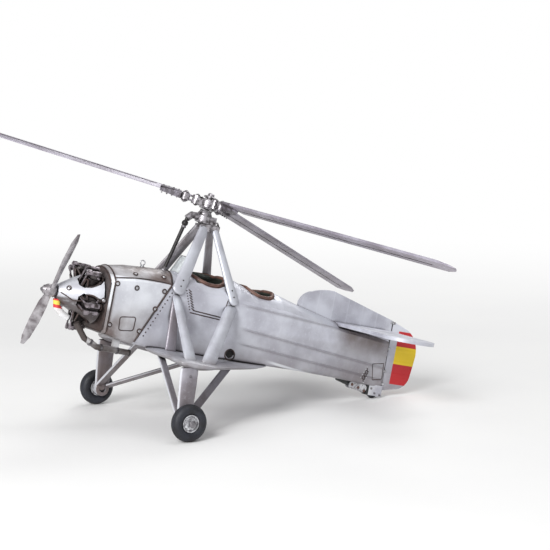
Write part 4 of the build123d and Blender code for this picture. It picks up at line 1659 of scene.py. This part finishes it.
    def stick(self, well: Well) -> Piece:
        """Models one control column with its grip and boot."""
        x = well.middle + 2.6
        line = [body_point(x + s, 0, well.floor + h) for s, h in ((0, 0), (0.1, 4), (-0.4, 8), (-1.0, 10.2))]
        rod = pipe("stick_rod", line, 0.3, 8, Vector((0, 1, 0)))
        grip = spun("stick_grip", [(0.3, -1.1), (0.55, -1.0), (0.5, -0.3), (0.62, 0.4), (0.5, 1.0), (0.0, 1.2)], 12,
                    False, BODY @ moved(x - 1.1, 0, well.floor + 10.6) @ turned(-14, "Y"))
        boot = spun("stick_boot", [(1.7, 0.0), (1.4, 0.5), (1.2, 0.7), (0.95, 1.3), (0.7, 1.5), (0.35, 2.4)], 16,
                    False, BODY @ moved(x, 0, well.floor))
        return joined(f"control_stick_{well.name}", [rod, grip, boot])

    def windscreen(self) -> tuple[Piece, Piece]:
        """Models the windscreen's three panes and the metal frame round them."""
        place = BODY @ moved(-2.6, 0, 67.3) @ turned(-28, "Y")
        up = place.to_3x3() @ Vector((0, 0, 1))
        high = self.screen_height
        section = ((0.0, -2.4), (0.25, -2.4), (0.25, high), (0.0, high))
        panes = draped("windscreen_panes", [[place @ mm(x + step, y * (1 + step / 30), z) for step, z in section]
                                            for x, y in self.screen])
        parts = [pipe("top_rail", [place @ mm(x, y, high) for x, y in self.screen], 0.26, 8, up)]
        base = []
        for x, y in self.screen:
            foot, head = place @ mm(x, y, -2.0), place @ mm(x, y, high + 0.1)
            parts.append(pipe("post", [foot, foot.lerp(head, 0.5), head], 0.24, 8, up.orthogonal()))
            spot = BODY.inverted() @ (place @ mm(x, y, 0)) / MM
            base.append(self.skin.deck(spot.x, spot.y, 0.1)[0])
        parts.append(pipe("foot_rail", along(base, 1.2 * MM), 0.3, 8, body_way(0, 0, 1)))
        return panes, joined("windscreen_frame", parts)

    def build(self) -> None:
        """Builds both cockpits."""
        for well in self.wells:
            fit(self.moulded_rim(well), self.paint.leather, f"coaming_{well.name}")
            fit(self.lining(well), self.paint.cockpit)
            seat, harness = self.seat(well)
            fit(seat, self.paint.seat, f"seat_{well.name}")
            fit(harness, self.paint.webbing)
            fit(self.stick(well), self.paint.dark)
            bezels, dials = self.instruments(well)
            fit(bezels, self.paint.bright)
            fit(dials, self.paint.dial)
        panes, edging = self.windscreen()
        fit(panes, self.paint.glass, "windscreen")
        fit(edging, self.paint.steel)


@dataclass
class Panels:
    """The door seams, stitches and step holes on the fuselage sides."""

    skin: Skin
    paint: Paint
    seams: tuple[tuple[Profile, float], ...] = (
        (((-7.6, 52.0), (-22.4, 50.9)), 0.26), (((-6.4, 50.9), (-22.6, 49.8)), 0.26),
        (((-22.5, 50.4), (-23.6, 58.6)), 0.2))
    laces: int = 8
    step_hole: tuple[float, float] = (-29.4, 35.6)

    def line(self, points: Profile, radius: float) -> Piece:
        """Runs a fine bead over the port side through (x, z) points."""
        return pipe("door_seam", self.skin.trace(points, 0.9), radius, 6, body_way(0.2, 1, 0.1))

    def build(self) -> None:
        """Builds both sides' panels."""
        seams = [self.line(*row) for row in self.seams]
        spots = [(-0.43 * k, -1.1 * k) for k in range(self.laces)]
        seams += [self.line(((x - 3.8, z + 60.55), (x - 5.3, z + 59.75)), 0.24) for x, z in spots]
        stitches = [self.skin.side(x - 3.0, z + 59.9) for x, z in spots]
        studs = stud_row("door_stitches_left", stitches, 0.3, 0.2, 6)
        x, z = self.step_hole
        across = BODY @ turned(-90, "X")
        rim = spun("step_rim_left", wire(2.35, 0.3), 32, True, Matrix.Translation(body_point(x, 13.4, z)) @ across)
        pit = spun("step_pit_left", [(2.09, 1.25), (2.0, 0.3), (1.2, 0.1), (0.0, 0.1)], 24, False,
                   Matrix.Translation(body_point(x, 12.2, z)) @ across)
        for piece in (joined("side_seams_left", seams), studs, rim):
            fit_pair(piece, self.paint.seam)
        # The black of the shallow pit is painted shade for the dark inside of the step hole.
        fit_pair(pit, self.paint.black)


@dataclass
class Pylon:
    """The four streamlined legs under the rotor head, and their foot bolts."""

    paint: Paint
    legs: tuple[tuple[str, tuple[float, float, float], tuple[float, float, float], tuple[float, ...]], ...] = (
        ("front", (1.2, 13.8, 60.0), (-11.2, 2.5, 87.4), (5.7, 5.6, 5.2, 4.9, 4.7, 4.3)),
        ("rear", (-26.2, 13.7, 59.0), (-16.9, 2.5, 86.8), (4.5, 4.3, 4.0, 3.7, 3.5, 3.3)))
    thick: float = 2.1
    bolts: tuple[float, float] = (1.6, 4.6)

    def build(self) -> None:
        """Builds the legs on both sides."""
        for name, foot, tip, chords in self.legs:
            leg = fairing(f"pylon_leg_{name}_left", foot, tip, chords, self.thick, (2.2, 0.7))
            run = (Vector(tip) - Vector(foot)).normalized()
            pins = [bolt(body_point(foot[0] + run.x * d, foot[1] + 0.85 + run.y * d, foot[2] + run.z * d),
                         body_way(0, 1, 0), 0.42, 0.35) for d in self.bolts]
            fit_pair(leg, self.paint.strut, f"pylon_{name}")
            fit_pair(joined(f"pylon_bolts_{name}_left", pins), self.paint.dark)


@dataclass
class RotorHead:
    """Bolts, bands and levers on the fixed head below the rotor."""

    paint: Paint
    bands: tuple[tuple[float, float, float], ...] = ((-8.6, 3.35, 0.28), (-5.6, 3.35, 0.24), (-3.4, 2.5, 0.22))
    plate_bolts: Profile = ((-4.8, -2.3), (-4.8, 2.3), (1.6, -2.3), (1.6, 2.3))
    lever: tuple[tuple[float, float], ...] = ((-16.2, 90.0), (-18.6, 90.4), (-19.6, 88.6), (-19.8, 86.0))
    cups: tuple[tuple[float, float, float], ...] = ((-3.2, 88.4, 1.05), (-2.6, 86.4, 0.95))
    shaft_way: tuple[float, float, float] = (5.9, 0, -22.0)

    def build(self) -> None:
        """Builds the head's small parts."""
        up = Vector((0, 0, 1))
        parts = [spun("head_band", wire(radius, minor, level=height), 28, True, ROTOR)
                 for height, radius, minor in self.bands]
        for a in circle(8):
            out = Vector((math.cos(a), math.sin(a), 0))
            parts.append(bolt((out * 3.15 + up * -7.1) * MM, out, 0.42, 0.35, ROTOR))
        parts += [bolt(mm(x, y, 0), up, 0.5, 0.4, BODY @ moved(-12.4, 0, 89.0)) for x, y in self.plate_bolts]
        for side in (-1, 1):
            parts += [settle(block("head_lug", (2.6, 0.9, 3.2), (-13.8, 3.0 * side, 87.6), 0.3), BODY),
                      bolt(body_point(-13.8, 3.4 * side, 87.2), body_way(0, side, 0), 0.55, 0.4)]
        line = along([body_point(x, 0, z) for x, z in self.lever], 1.0 * MM)
        knob = there_and_back([(0.0, -0.7), (0.5, -0.5)])
        knob.insert(2, (0.7, 0.0))
        parts += [pipe("tilt_lever", line, 0.42, 8, Vector((0, 1, 0))),
                  spun("lever_knob", knob, 14, False, Matrix.Translation(body_point(-19.8, 0, 85.8)))]
        fit(joined("head_fittings", parts), self.paint.head)
        way = body_way(*self.shaft_way)
        joint = [spun("drive_cup", [(0.5, -0.5), (radius, -0.45), (radius + 0.15, 0.0), (radius, 0.45), (0.5, 0.5)],
                      18, True, upright(body_point(x, 0, z), way)) for x, z, radius in self.cups]
        joint.append(spun("drive_gland", [(1.9, -0.6), (1.9, 0.3), (1.4, 0.5), (1.2, 1.6), (0.82, 1.8)], 20, False,
                          upright(body_point(2.9, 0, 66.2), -way)))
        fit(joined("drive_fittings", joint), self.paint.steel)


@dataclass
class Rotor:
    """The hub's cap, the hinge pins and the blades' bolts and spar lines."""

    paint: Paint
    first: float = -25.75
    droops: tuple[float, float, float] = (1.14, 1.99, 3.04)
    hinge: float = 5.4
    drag: float = 10.6
    root: float = 12.6
    tip: float = 167.0
    twist: float = 13.3
    rise: float = 0.95
    cap: Profile = ((2.2, 2.3), (2.9, 2.3), (2.95, 2.75), (2.3, 3.1), (1.5, 3.2), (1.4, 4.1), (0.9, 4.5), (0.0, 4.6))
    root_bolts: tuple[tuple[float, float, int, float], ...] = ((0.9, -2.2, -1, 0.3), (-0.7, 0.75, 1, 0.25))
    spars: Profile = ((0.6, -0.74), (0.6, 0.73))

    def blade_frame(self, number: int) -> Matrix:
        """Gives the placement of one blade's own axes, with X along the span.

        Args:
            number: the blade, from 0.

        Returns:
            The placement.
        """
        hinge = moved(self.hinge, 0, 0)
        return (ROTOR @ turned(self.first + 120 * number, "Z") @ hinge @ turned(self.droops[number], "Y")
                @ hinge.inverted())

    def build(self) -> None:
        """Builds the turning parts' fittings."""
        up = Vector((0, 0, 1))
        hub = [spun("hub_cap", self.cap, 28, False, ROTOR)]
        hub += [bolt(mm(3.35 * math.cos(a), 3.35 * math.sin(a), 1.45), up, 0.42, 0.4, ROTOR)
                for a in (2 * math.pi * (k + 0.5) / 6 for k in range(6))]
        dark = []
        for number in range(3):
            place = self.blade_frame(number)
            hub += [bolt(mm(reach, 0, z), turn, 0.95, 0.5, place)
                    for reach in (self.hinge, self.drag) for z, turn in ((1.8, up), (-2.0, -up))]
            hub.append(spun("link_eye", [(1.55, -1.5), (2.05, -1.5), (2.05, 1.3), (1.55, 1.3)], 24, True,
                            place @ moved(self.drag, 0, 0)))
            pitched = place @ moved(0, 0, self.rise) @ turned(-self.twist, "X")
            hub += [bolt(mm(self.root + 1.4 + 2.3 * k, y, z), up * sign, 0.36, height, pitched)
                    for k in range(4) for y, z, sign, height in self.root_bolts]
            for y, z in self.spars:
                line = [pitched @ mm(r, y, z * (1 - 0.1 * (r - 22) / 145)) for r in range(24, int(self.tip), 6)]
                dark.append(pipe("spar_line", line, 0.11, 6, place.to_3x3() @ up))
        fit(joined("rotor_fittings", hub), self.paint.head, body="rotor")
        fit(joined("spar_lines", dark), self.paint.dark, body="rotor")


@dataclass
class Undercarriage:
    """The stub planes with their braces, the legs' clips and the wheels."""

    paint: Paint
    wheel_y: float = 46.4
    radius: float = 7.9
    half: float = 2.7
    hub_radius: float = 3.7
    grooves: tuple[int, ...] = (6, 8, 10)
    leg_y: float = 41.3
    sag: float = 1.1
    stations: tuple[tuple[float, ...], ...] = (
        (11.2, 9.4, -47.0, 33.3, 1.0, 1.6), (12.6, 11.0, -49.0, 33.0, 2.15, 3.5),
        (26.0, 10.2, -37.5, 32.8, 2.15, 3.2), (38.9, 8.4, -12.5, 31.75, 2.15, 2.9),
        (42.0, 7.9, -10.6, 31.7, 1.9, 2.6), (43.1, 6.2, -8.4, 31.6, 0.9, 1.2))
    brace_bolts: tuple[tuple[float, float, float], ...] = (
        (-0.6, 35.2, 34.2), (3.6, 35.2, 34.2), (-9.6, 34.6, 33.8), (-6.0, 34.6, 33.8))
    leg_bolts: tuple[tuple[float, float, float, float], ...] = (
        (0.0, 42.75, 12.0, 0.55), (3.0, 42.75, 26.5, 0.55), (-2.0, 42.7, 11.0, 0.5))

    def tyre(self) -> Piece:
        """Models one tyre along Z, with a rounded tread, grooves and a bead."""
        foot, half = self.hub_radius, self.half
        crown = self.radius - foot
        bead = [(foot, -half + 1.5), (foot + 0.25, -half + 0.75), (foot + 0.7, -half + 0.42)]
        tread = []
        for k in range(17):
            a = math.radians(-84 + 168 * k / 16)
            r = foot + crown * 0.42 + crown * 0.575 * math.cos(a)
            tread.append((r - (0.16 if k in self.grooves else 0.0), (half - 0.03) * math.sin(a)))
        profile = there_and_back(bead)
        return spun("tyre", [*profile[:3], *tread, *profile[3:]], 72, True)

    def disc(self) -> Piece:
        """Models one wheel disc along Z: rim, dish, pressed spokes and nut."""
        half, rim = self.half, self.hub_radius - 0.02
        parts = [spun("dish", there_and_back([
            (1.02, -half + 0.3), (1.7, -half + 0.3), (1.95, -half + 0.75), (3.0, -half + 1.15),
            (3.25, -half + 0.72), (rim, -half + 0.68)]), 40, True)]
        parts += [settle(block("spoke", (1.3, 0.42, 0.3), (0, 0, 0), 0.12),
                         turned(45 * k, "Z") @ moved(2.45, 0, side * (half - 0.92)))
                  for side in (-1, 1) for k in range(8)]
        return joined("wheel_disc", parts)

    def wheels(self) -> None:
        """Builds both wheels in place of the CAD ones."""
        tyre, disc = self.tyre(), self.disc()
        for tag, side in (("left", 1), ("right", -1)):
            middle = moved(0, side * self.wheel_y, self.radius) @ turned(90, "X")
            fit(copied(tyre, middle, f"grooved_tyre_{tag}"), self.paint.rubber, f"tyre_{tag}", body=f"wheel_{tag}")
            fit(copied(disc, middle, f"pressed_disc_{tag}"), self.paint.wheel, f"hub_{tag}", body=f"wheel_{tag}")
            end = mm(0, side * (self.wheel_y + self.half + 0.85), self.radius)
            fit(spun(f"axle_cap_{tag}", [(1.5, 0.0), (1.5, 0.25), (1.2, 0.5), (0.5, 0.62), (0.0, 0.62)], 20, False,
                     upright(end, Vector((0, side, 0)))), self.paint.steel)
        for original in (tyre, disc):
            bpy.data.objects.remove(original)

    def stub(self) -> tuple[Piece, Piece]:
        """Models the port stub plane with its thick round nose, and its three braces."""
        rows = []
        for y, front, back, z, over, under in self.stations:
            row = []
            for a in circle(32):
                share = (1 - math.cos(a)) / 2
                half = over * (1 - 0.8 * share) if math.sin(a) > 0 else under * (1 - 0.55 * share)
                sag = self.sag * math.sin(math.pi * share) * (front - back) / 60
                row.append(body_point(front + (back - front) * share, y, z - sag + half * math.sin(a)))
            rows.append(row)
        plank = smooth(draped("stub_plane", rows), 40)
        front = fairing("front_brace", (1.2, 12.9, 57.0), (1.6, 37.4, 32.4), (4.0, 4.3, 4.7, 5.1, 5.6), 2.0)
        rear = fairing("rear_brace", (-26.3, 12.9, 56.2), (-6.6, 37.4, 31.9), (5.2, 5.4, 5.6, 5.8, 5.9), 2.0)
        inner = fairing("inner_brace_left", (1.2, 13.0, 56.4), (1.7, 17.8, 33.8), (3.4, 3.8, 4.2, 4.6, 5.0), 1.8)
        return joined("stub_plane_left", [plank, front, rear]), inner

    def clips(self) -> Piece:
        """Models the bolts where the port struts meet."""
        parts = [bolt(body_point(*at), body_way(0, 0, 1), 0.5, 0.4) for at in self.brace_bolts]
        parts += [bolt(body_point(*at), body_way(0, 1, 0), size, 0.4) for *at, size in self.leg_bolts]
        return joined("gear_bolts_left", parts)

    def leg(self) -> Piece:
        """Models the port leg's wide fairing and its axle boss."""
        at = self.leg_y
        body = fairing("shock_leg_left", (1.7, at, 8.4), (3.5, at, 29.6), (6.4, 7.2, 7.7, 8.0, 8.0), 2.8, (1.6, 0.5))
        boss = spun("axle_boss", [(2.9, -1.45), (3.2, -1.2), (3.2, 1.2), (2.9, 1.45), (1.6, 1.5), (1.6, -1.5)],
                    32, True, upright(body_point(1.68, at, 7.72), body_way(0, 1, 0)))
        return joined("shock_leg_left", [body, boss])

    def build(self) -> None:
        """Builds the undercarriage on both sides."""
        port, inner = self.stub()
        # The inner brace gets the darker silver as painted shade.
        fit_pair(inner, self.paint.shaded)
        clips = self.clips()
        fit_pair(self.leg(), self.paint.gear, "oleo")
        fit_pair(port, self.paint.plane, "outrigger")
        fit_pair(clips, self.paint.steel)
        self.wheels()


@dataclass
class Tail:
    """The tail wheel and its fork bolts, the lacing, the access panel and the rudder's hinges."""

    skin: Skin
    paint: Paint
    wheel: tuple[float, float, float] = (-113.75, 0.0, 27.39)
    wheel_radius: float = 2.6
    panel: Profile = ((-109.3, 40.6), (-116.0, 41.5), (-116.6, 34.3), (-110.9, 33.3))
    lacing: tuple[Profile, ...] = (((-106.4, 38.8), (-103.7, 33.8)), ((-108.0, 36.7), (-105.8, 31.7)))
    link_eyes: Profile = ((-101.3, 29.9), (-104.8, 28.9), (-108.2, 27.8))
    fork_bolts: Profile = ((-113.75, 27.4), (-111.6, 29.4), (-116.6, 26.9))
    hinge_x: float = -117.4
    hinge_levels: tuple[float, ...] = (60.5, 48.5, 38.0, 32.0)

    def tail_wheel(self, box: Sequence[Vector]) -> None:
        """Builds the small wheel in place of the CAD one.

        Args:
            box: the corners of the CAD wheel.
        """
        half = (box[1][1] - box[0][1]) / MM / 2
        bead = there_and_back([(1.15, -half * 0.7), (1.4, -half * 0.95)])
        tread = [(1.75 + (self.wheel_radius - 1.75) * math.cos(a), half * math.sin(a))
                 for a in (math.radians(-80 + 160 * k / 8) for k in range(9))]
        turn = Matrix.Translation(body_point(*self.wheel)) @ turned(90, "X")
        fit(spun("tail_tyre", [*bead[:2], *tread, *bead[2:]], 40, True, turn), self.paint.rubber, "tail_wheel",
            body="tail_wheel")
        disc = there_and_back([(0.45, -half * 0.8), (0.9, -half * 0.8), (1.17, -half * 0.55)])
        fit(spun("tail_disc", disc, 28, True, turn), self.paint.wheel, body="tail_wheel")

    def build(self, fork: Skin, link: Skin) -> None:
        """Builds the tail's small pieces.

        Args:
            fork: the surface of the tail wheel's fork.
            link: the surface of the fork's link.
        """
        up, out = body_way(0.1, 1, 0.1), body_way(0, 1, 0)
        outline = self.skin.trace([*self.panel, self.panel[0]], 0.8)[:-1]
        edge = pipe("panel_edge_left", outline, 0.17, 6, up, loop=True)
        rows = [[Vector((x0, 0, z0)).lerp(Vector((x1, 0, z1)), k / 4) for k in range(5)]
                for (x0, z0), (x1, z1) in self.lacing]
        cords = [pipe("lace", self.skin.trace([(a.x, a.z), (b.x, b.z)], 0.7, 0.1), 0.13, 6, up)
                 for k in range(4) for a, b in ((rows[0][k], rows[1][k + 1]), (rows[1][k], rows[0][k + 1]))]
        spots = [self.skin.side(q.x, q.z) for row in rows for q in row]
        eyes = stud_row("lacing_eyelets_left", spots, 0.38, 0.22, 10)
        holes = stud_row("link_eyes_left", [link.side(x, z) for x, z in self.link_eyes], 0.72, 0.1, 14)
        pins = [bolt(fork.side(x, z)[0], out, 0.5, 0.4) for x, z in self.fork_bolts]
        hinges = []
        for z in self.hinge_levels:
            hinges += [settle(block("rudder_hinge", (2.8, 2.5, 1.1), (self.hinge_x, 0, z), 0.25), BODY),
                       bolt(body_point(self.hinge_x, 1.2, z), out, 0.4, 0.3)]
        for piece, material in ((edge, self.paint.seam), (eyes, self.paint.bright),
                                (joined("lacing_left", cords), self.paint.seam), (holes, self.paint.leather),
                                (joined("fork_bolts_left", pins), self.paint.steel)):
            fit_pair(piece, material)
        fit(joined("rudder_hinges", hinges), self.paint.bright)


@dataclass
class Studio:
    """The pale floor, the soft lights and the camera."""

    camera_place: Vector = field(default_factory=lambda: Vector((0.3734438, 0.7922244, 0.1785563)))
    right: Vector = field(default_factory=lambda: Vector((-0.87465584, 0.48473352, 0.00325287)))
    up: Vector = field(default_factory=lambda: Vector((-0.06005659, -0.11502034, 0.99154603)))
    ahead: Vector = field(default_factory=lambda: Vector((-0.48100974, -0.86706617, -0.12971465)))
    film: float = 36.0
    lens: float = 2060.77 / 550.0 * 36.0
    floor_half: float = 6.0
    lamps: tuple[tuple[str, tuple[float, ...], float, float, tuple[float, ...]], ...] = (
        ("key lamp", (0.80, 0.66, 0.62), 0.45, 14.0, (0, 0, 0.05)),
        ("top lamp", (-0.35, 0.1, 1.1), 0.7, 2.4, (-0.03, 0, 0.05)),
        ("rim lamp", (-0.7, -0.6, 0.7), 0.5, 3.0, (0, 0, 0.05)))

    def camera(self) -> None:
        """Sets up the camera at the photograph's angle."""
        data = bpy.data.cameras.new("photograph view")
        data.sensor_fit = "HORIZONTAL"
        data.sensor_width = self.film
        data.lens = self.lens
        data.clip_start = 0.01
        data.clip_end = 50.0
        eye = bpy.data.objects.new("photograph view", data)
        bpy.context.scene.collection.objects.link(eye)
        turn = Matrix((self.right, self.up, -self.ahead)).transposed().to_4x4()
        eye.matrix_world = Matrix.Translation(self.camera_place) @ turn
        bpy.context.scene.camera = eye

    def floor(self) -> None:
        """Lays a wide pale floor that fades into the white background."""
        rest()
        bpy.ops.mesh.primitive_plane_add(size=2 * self.floor_half, location=(0, 0, -0.00002))
        floor = bpy.context.object
        floor.name = "studio floor"
        bench = Bench("studio floor")
        bench.feed("Base Color", bench.mix(bench.ramp(bench.noise(9.0), 0.3, 0.7), (0.86, 0.86, 0.86),
                                           (0.88, 0.88, 0.875)))
        bench.feed("Roughness", 0.85)
        bench.feed("Specular IOR Level", 0.1)
        seen = bench.node("LightPath").outputs["Is Camera Ray"]
        far = bench.times(bench.ramp(bench.away((0, 0, 0)), 0.22, 0.75), seen)
        white = bench.node("Emission", {"Color": (1, 1, 1)}).outputs[0]
        blend = bench.node("MixShader", {"Fac": far, 1: bench.shader.outputs[0], 2: white})
        bench.put(bench.tree.nodes["Material Output"].inputs["Surface"], blend.outputs[0])
        dress(floor, bench.material)

    def lamp(self, name: str, place: Sequence[float], size: float, power: float, target: Sequence[float]) -> None:
        """Hangs one soft square lamp.

        Args:
            name: the lamp's name.
            place: where it hangs, in metres.
            size: its width in metres.
            power: its power in watts.
            target: the point that it faces.
        """
        data = bpy.data.lights.new(name, "AREA")
        data.energy = power
        data.size = size
        lamp = bpy.data.objects.new(name, data)
        bpy.context.scene.collection.objects.link(lamp)
        aim = Vector(target) - Vector(place)
        lamp.matrix_world = Matrix.Translation(place) @ aim.to_track_quat("-Z", "Y").to_matrix().to_4x4()

    def world(self) -> None:
        """Makes the surroundings plain and pale, and white behind the model."""
        world = bpy.data.worlds.new("studio world")
        bpy.context.scene.world = world
        world.use_nodes = True
        tree = world.node_tree
        back = tree.nodes["Background"]
        back.inputs["Color"].default_value = (1, 1, 1, 1)
        path = tree.nodes.new("ShaderNodeLightPath")
        seen = tree.nodes.new("ShaderNodeMath")
        seen.operation = "MAXIMUM"
        tree.links.new(path.outputs["Is Camera Ray"], seen.inputs[0])
        tree.links.new(path.outputs["Is Transmission Ray"], seen.inputs[1])
        power = tree.nodes.new("ShaderNodeMapRange")
        power.inputs["To Min"].default_value = 0.34
        power.inputs["To Max"].default_value = 1.0
        tree.links.new(seen.outputs[0], power.inputs["Value"])
        tree.links.new(power.outputs["Result"], back.inputs["Strength"])

    def build(self) -> None:
        """Builds the whole stage."""
        self.camera()
        self.floor()
        self.world()
        for lamp in self.lamps:
            self.lamp(*lamp)
        bpy.context.scene.view_settings.view_transform = "Standard"


def dress_nodes(frame: dict, paint: Paint) -> None:
    """Gives every CAD node its finish.

    Args:
        paint: the finishes.
    """
    chosen = {
        "fuselage": paint.hull, "cowl_main": paint.cowl, "nose_cowl": paint.nose, "fin": paint.fin,
        "rudder": paint.rudder, "tailplane_left": paint.tail, "tailplane_right": paint.tail,
        "crankcase": paint.engine, "exhaust": paint.exhaust, "intake_pipe": paint.banded,
        "propeller": paint.propeller, "rotor_hub": paint.head, "rotor_head": paint.head,
        "drive_shaft": paint.black, "tail_fork": paint.fork, "tail_link": paint.bright,
    }
    starts = {"blade": paint.blade, "panel": paint.cockpit, "fore_strut": paint.gear, "aft_strut": paint.gear}
    for name, node in frame["nodes"].items():
        material = chosen.get(name)
        if material is None:
            material = next((m for start, m in starts.items() if name.startswith(start)), paint.strut)
        dress(node, material)
        LOG.info("dressed %s with %s", name, material.name)


def main() -> None:
    """Builds the looks of the model, one sub-assembly after another."""
    logging.basicConfig(level=logging.INFO, format="%(name)s: %(message)s")
    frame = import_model()
    paint = Paint()
    dress_nodes(frame, paint)
    hull = Skin(frame, ["fuselage", "cowl_main"])
    for assembly in (Cowling(hull, Skin(frame, ["nose_cowl"]), paint), Engine(paint), Pipework(paint),
                     Propeller(paint), Cockpits(hull, paint), Panels(hull, paint), Pylon(paint), RotorHead(paint),
                     Rotor(paint), Undercarriage(paint)):
        assembly.build()
        LOG.info("%s in place", type(assembly).__name__)
    tail = Tail(hull, paint)
    tail.tail_wheel(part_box("tail_wheel"))
    tail.build(Skin(frame, ["tail_fork"]), Skin(frame, ["tail_link"]))
    Studio().build()


if __name__ == "__main__":
    main()
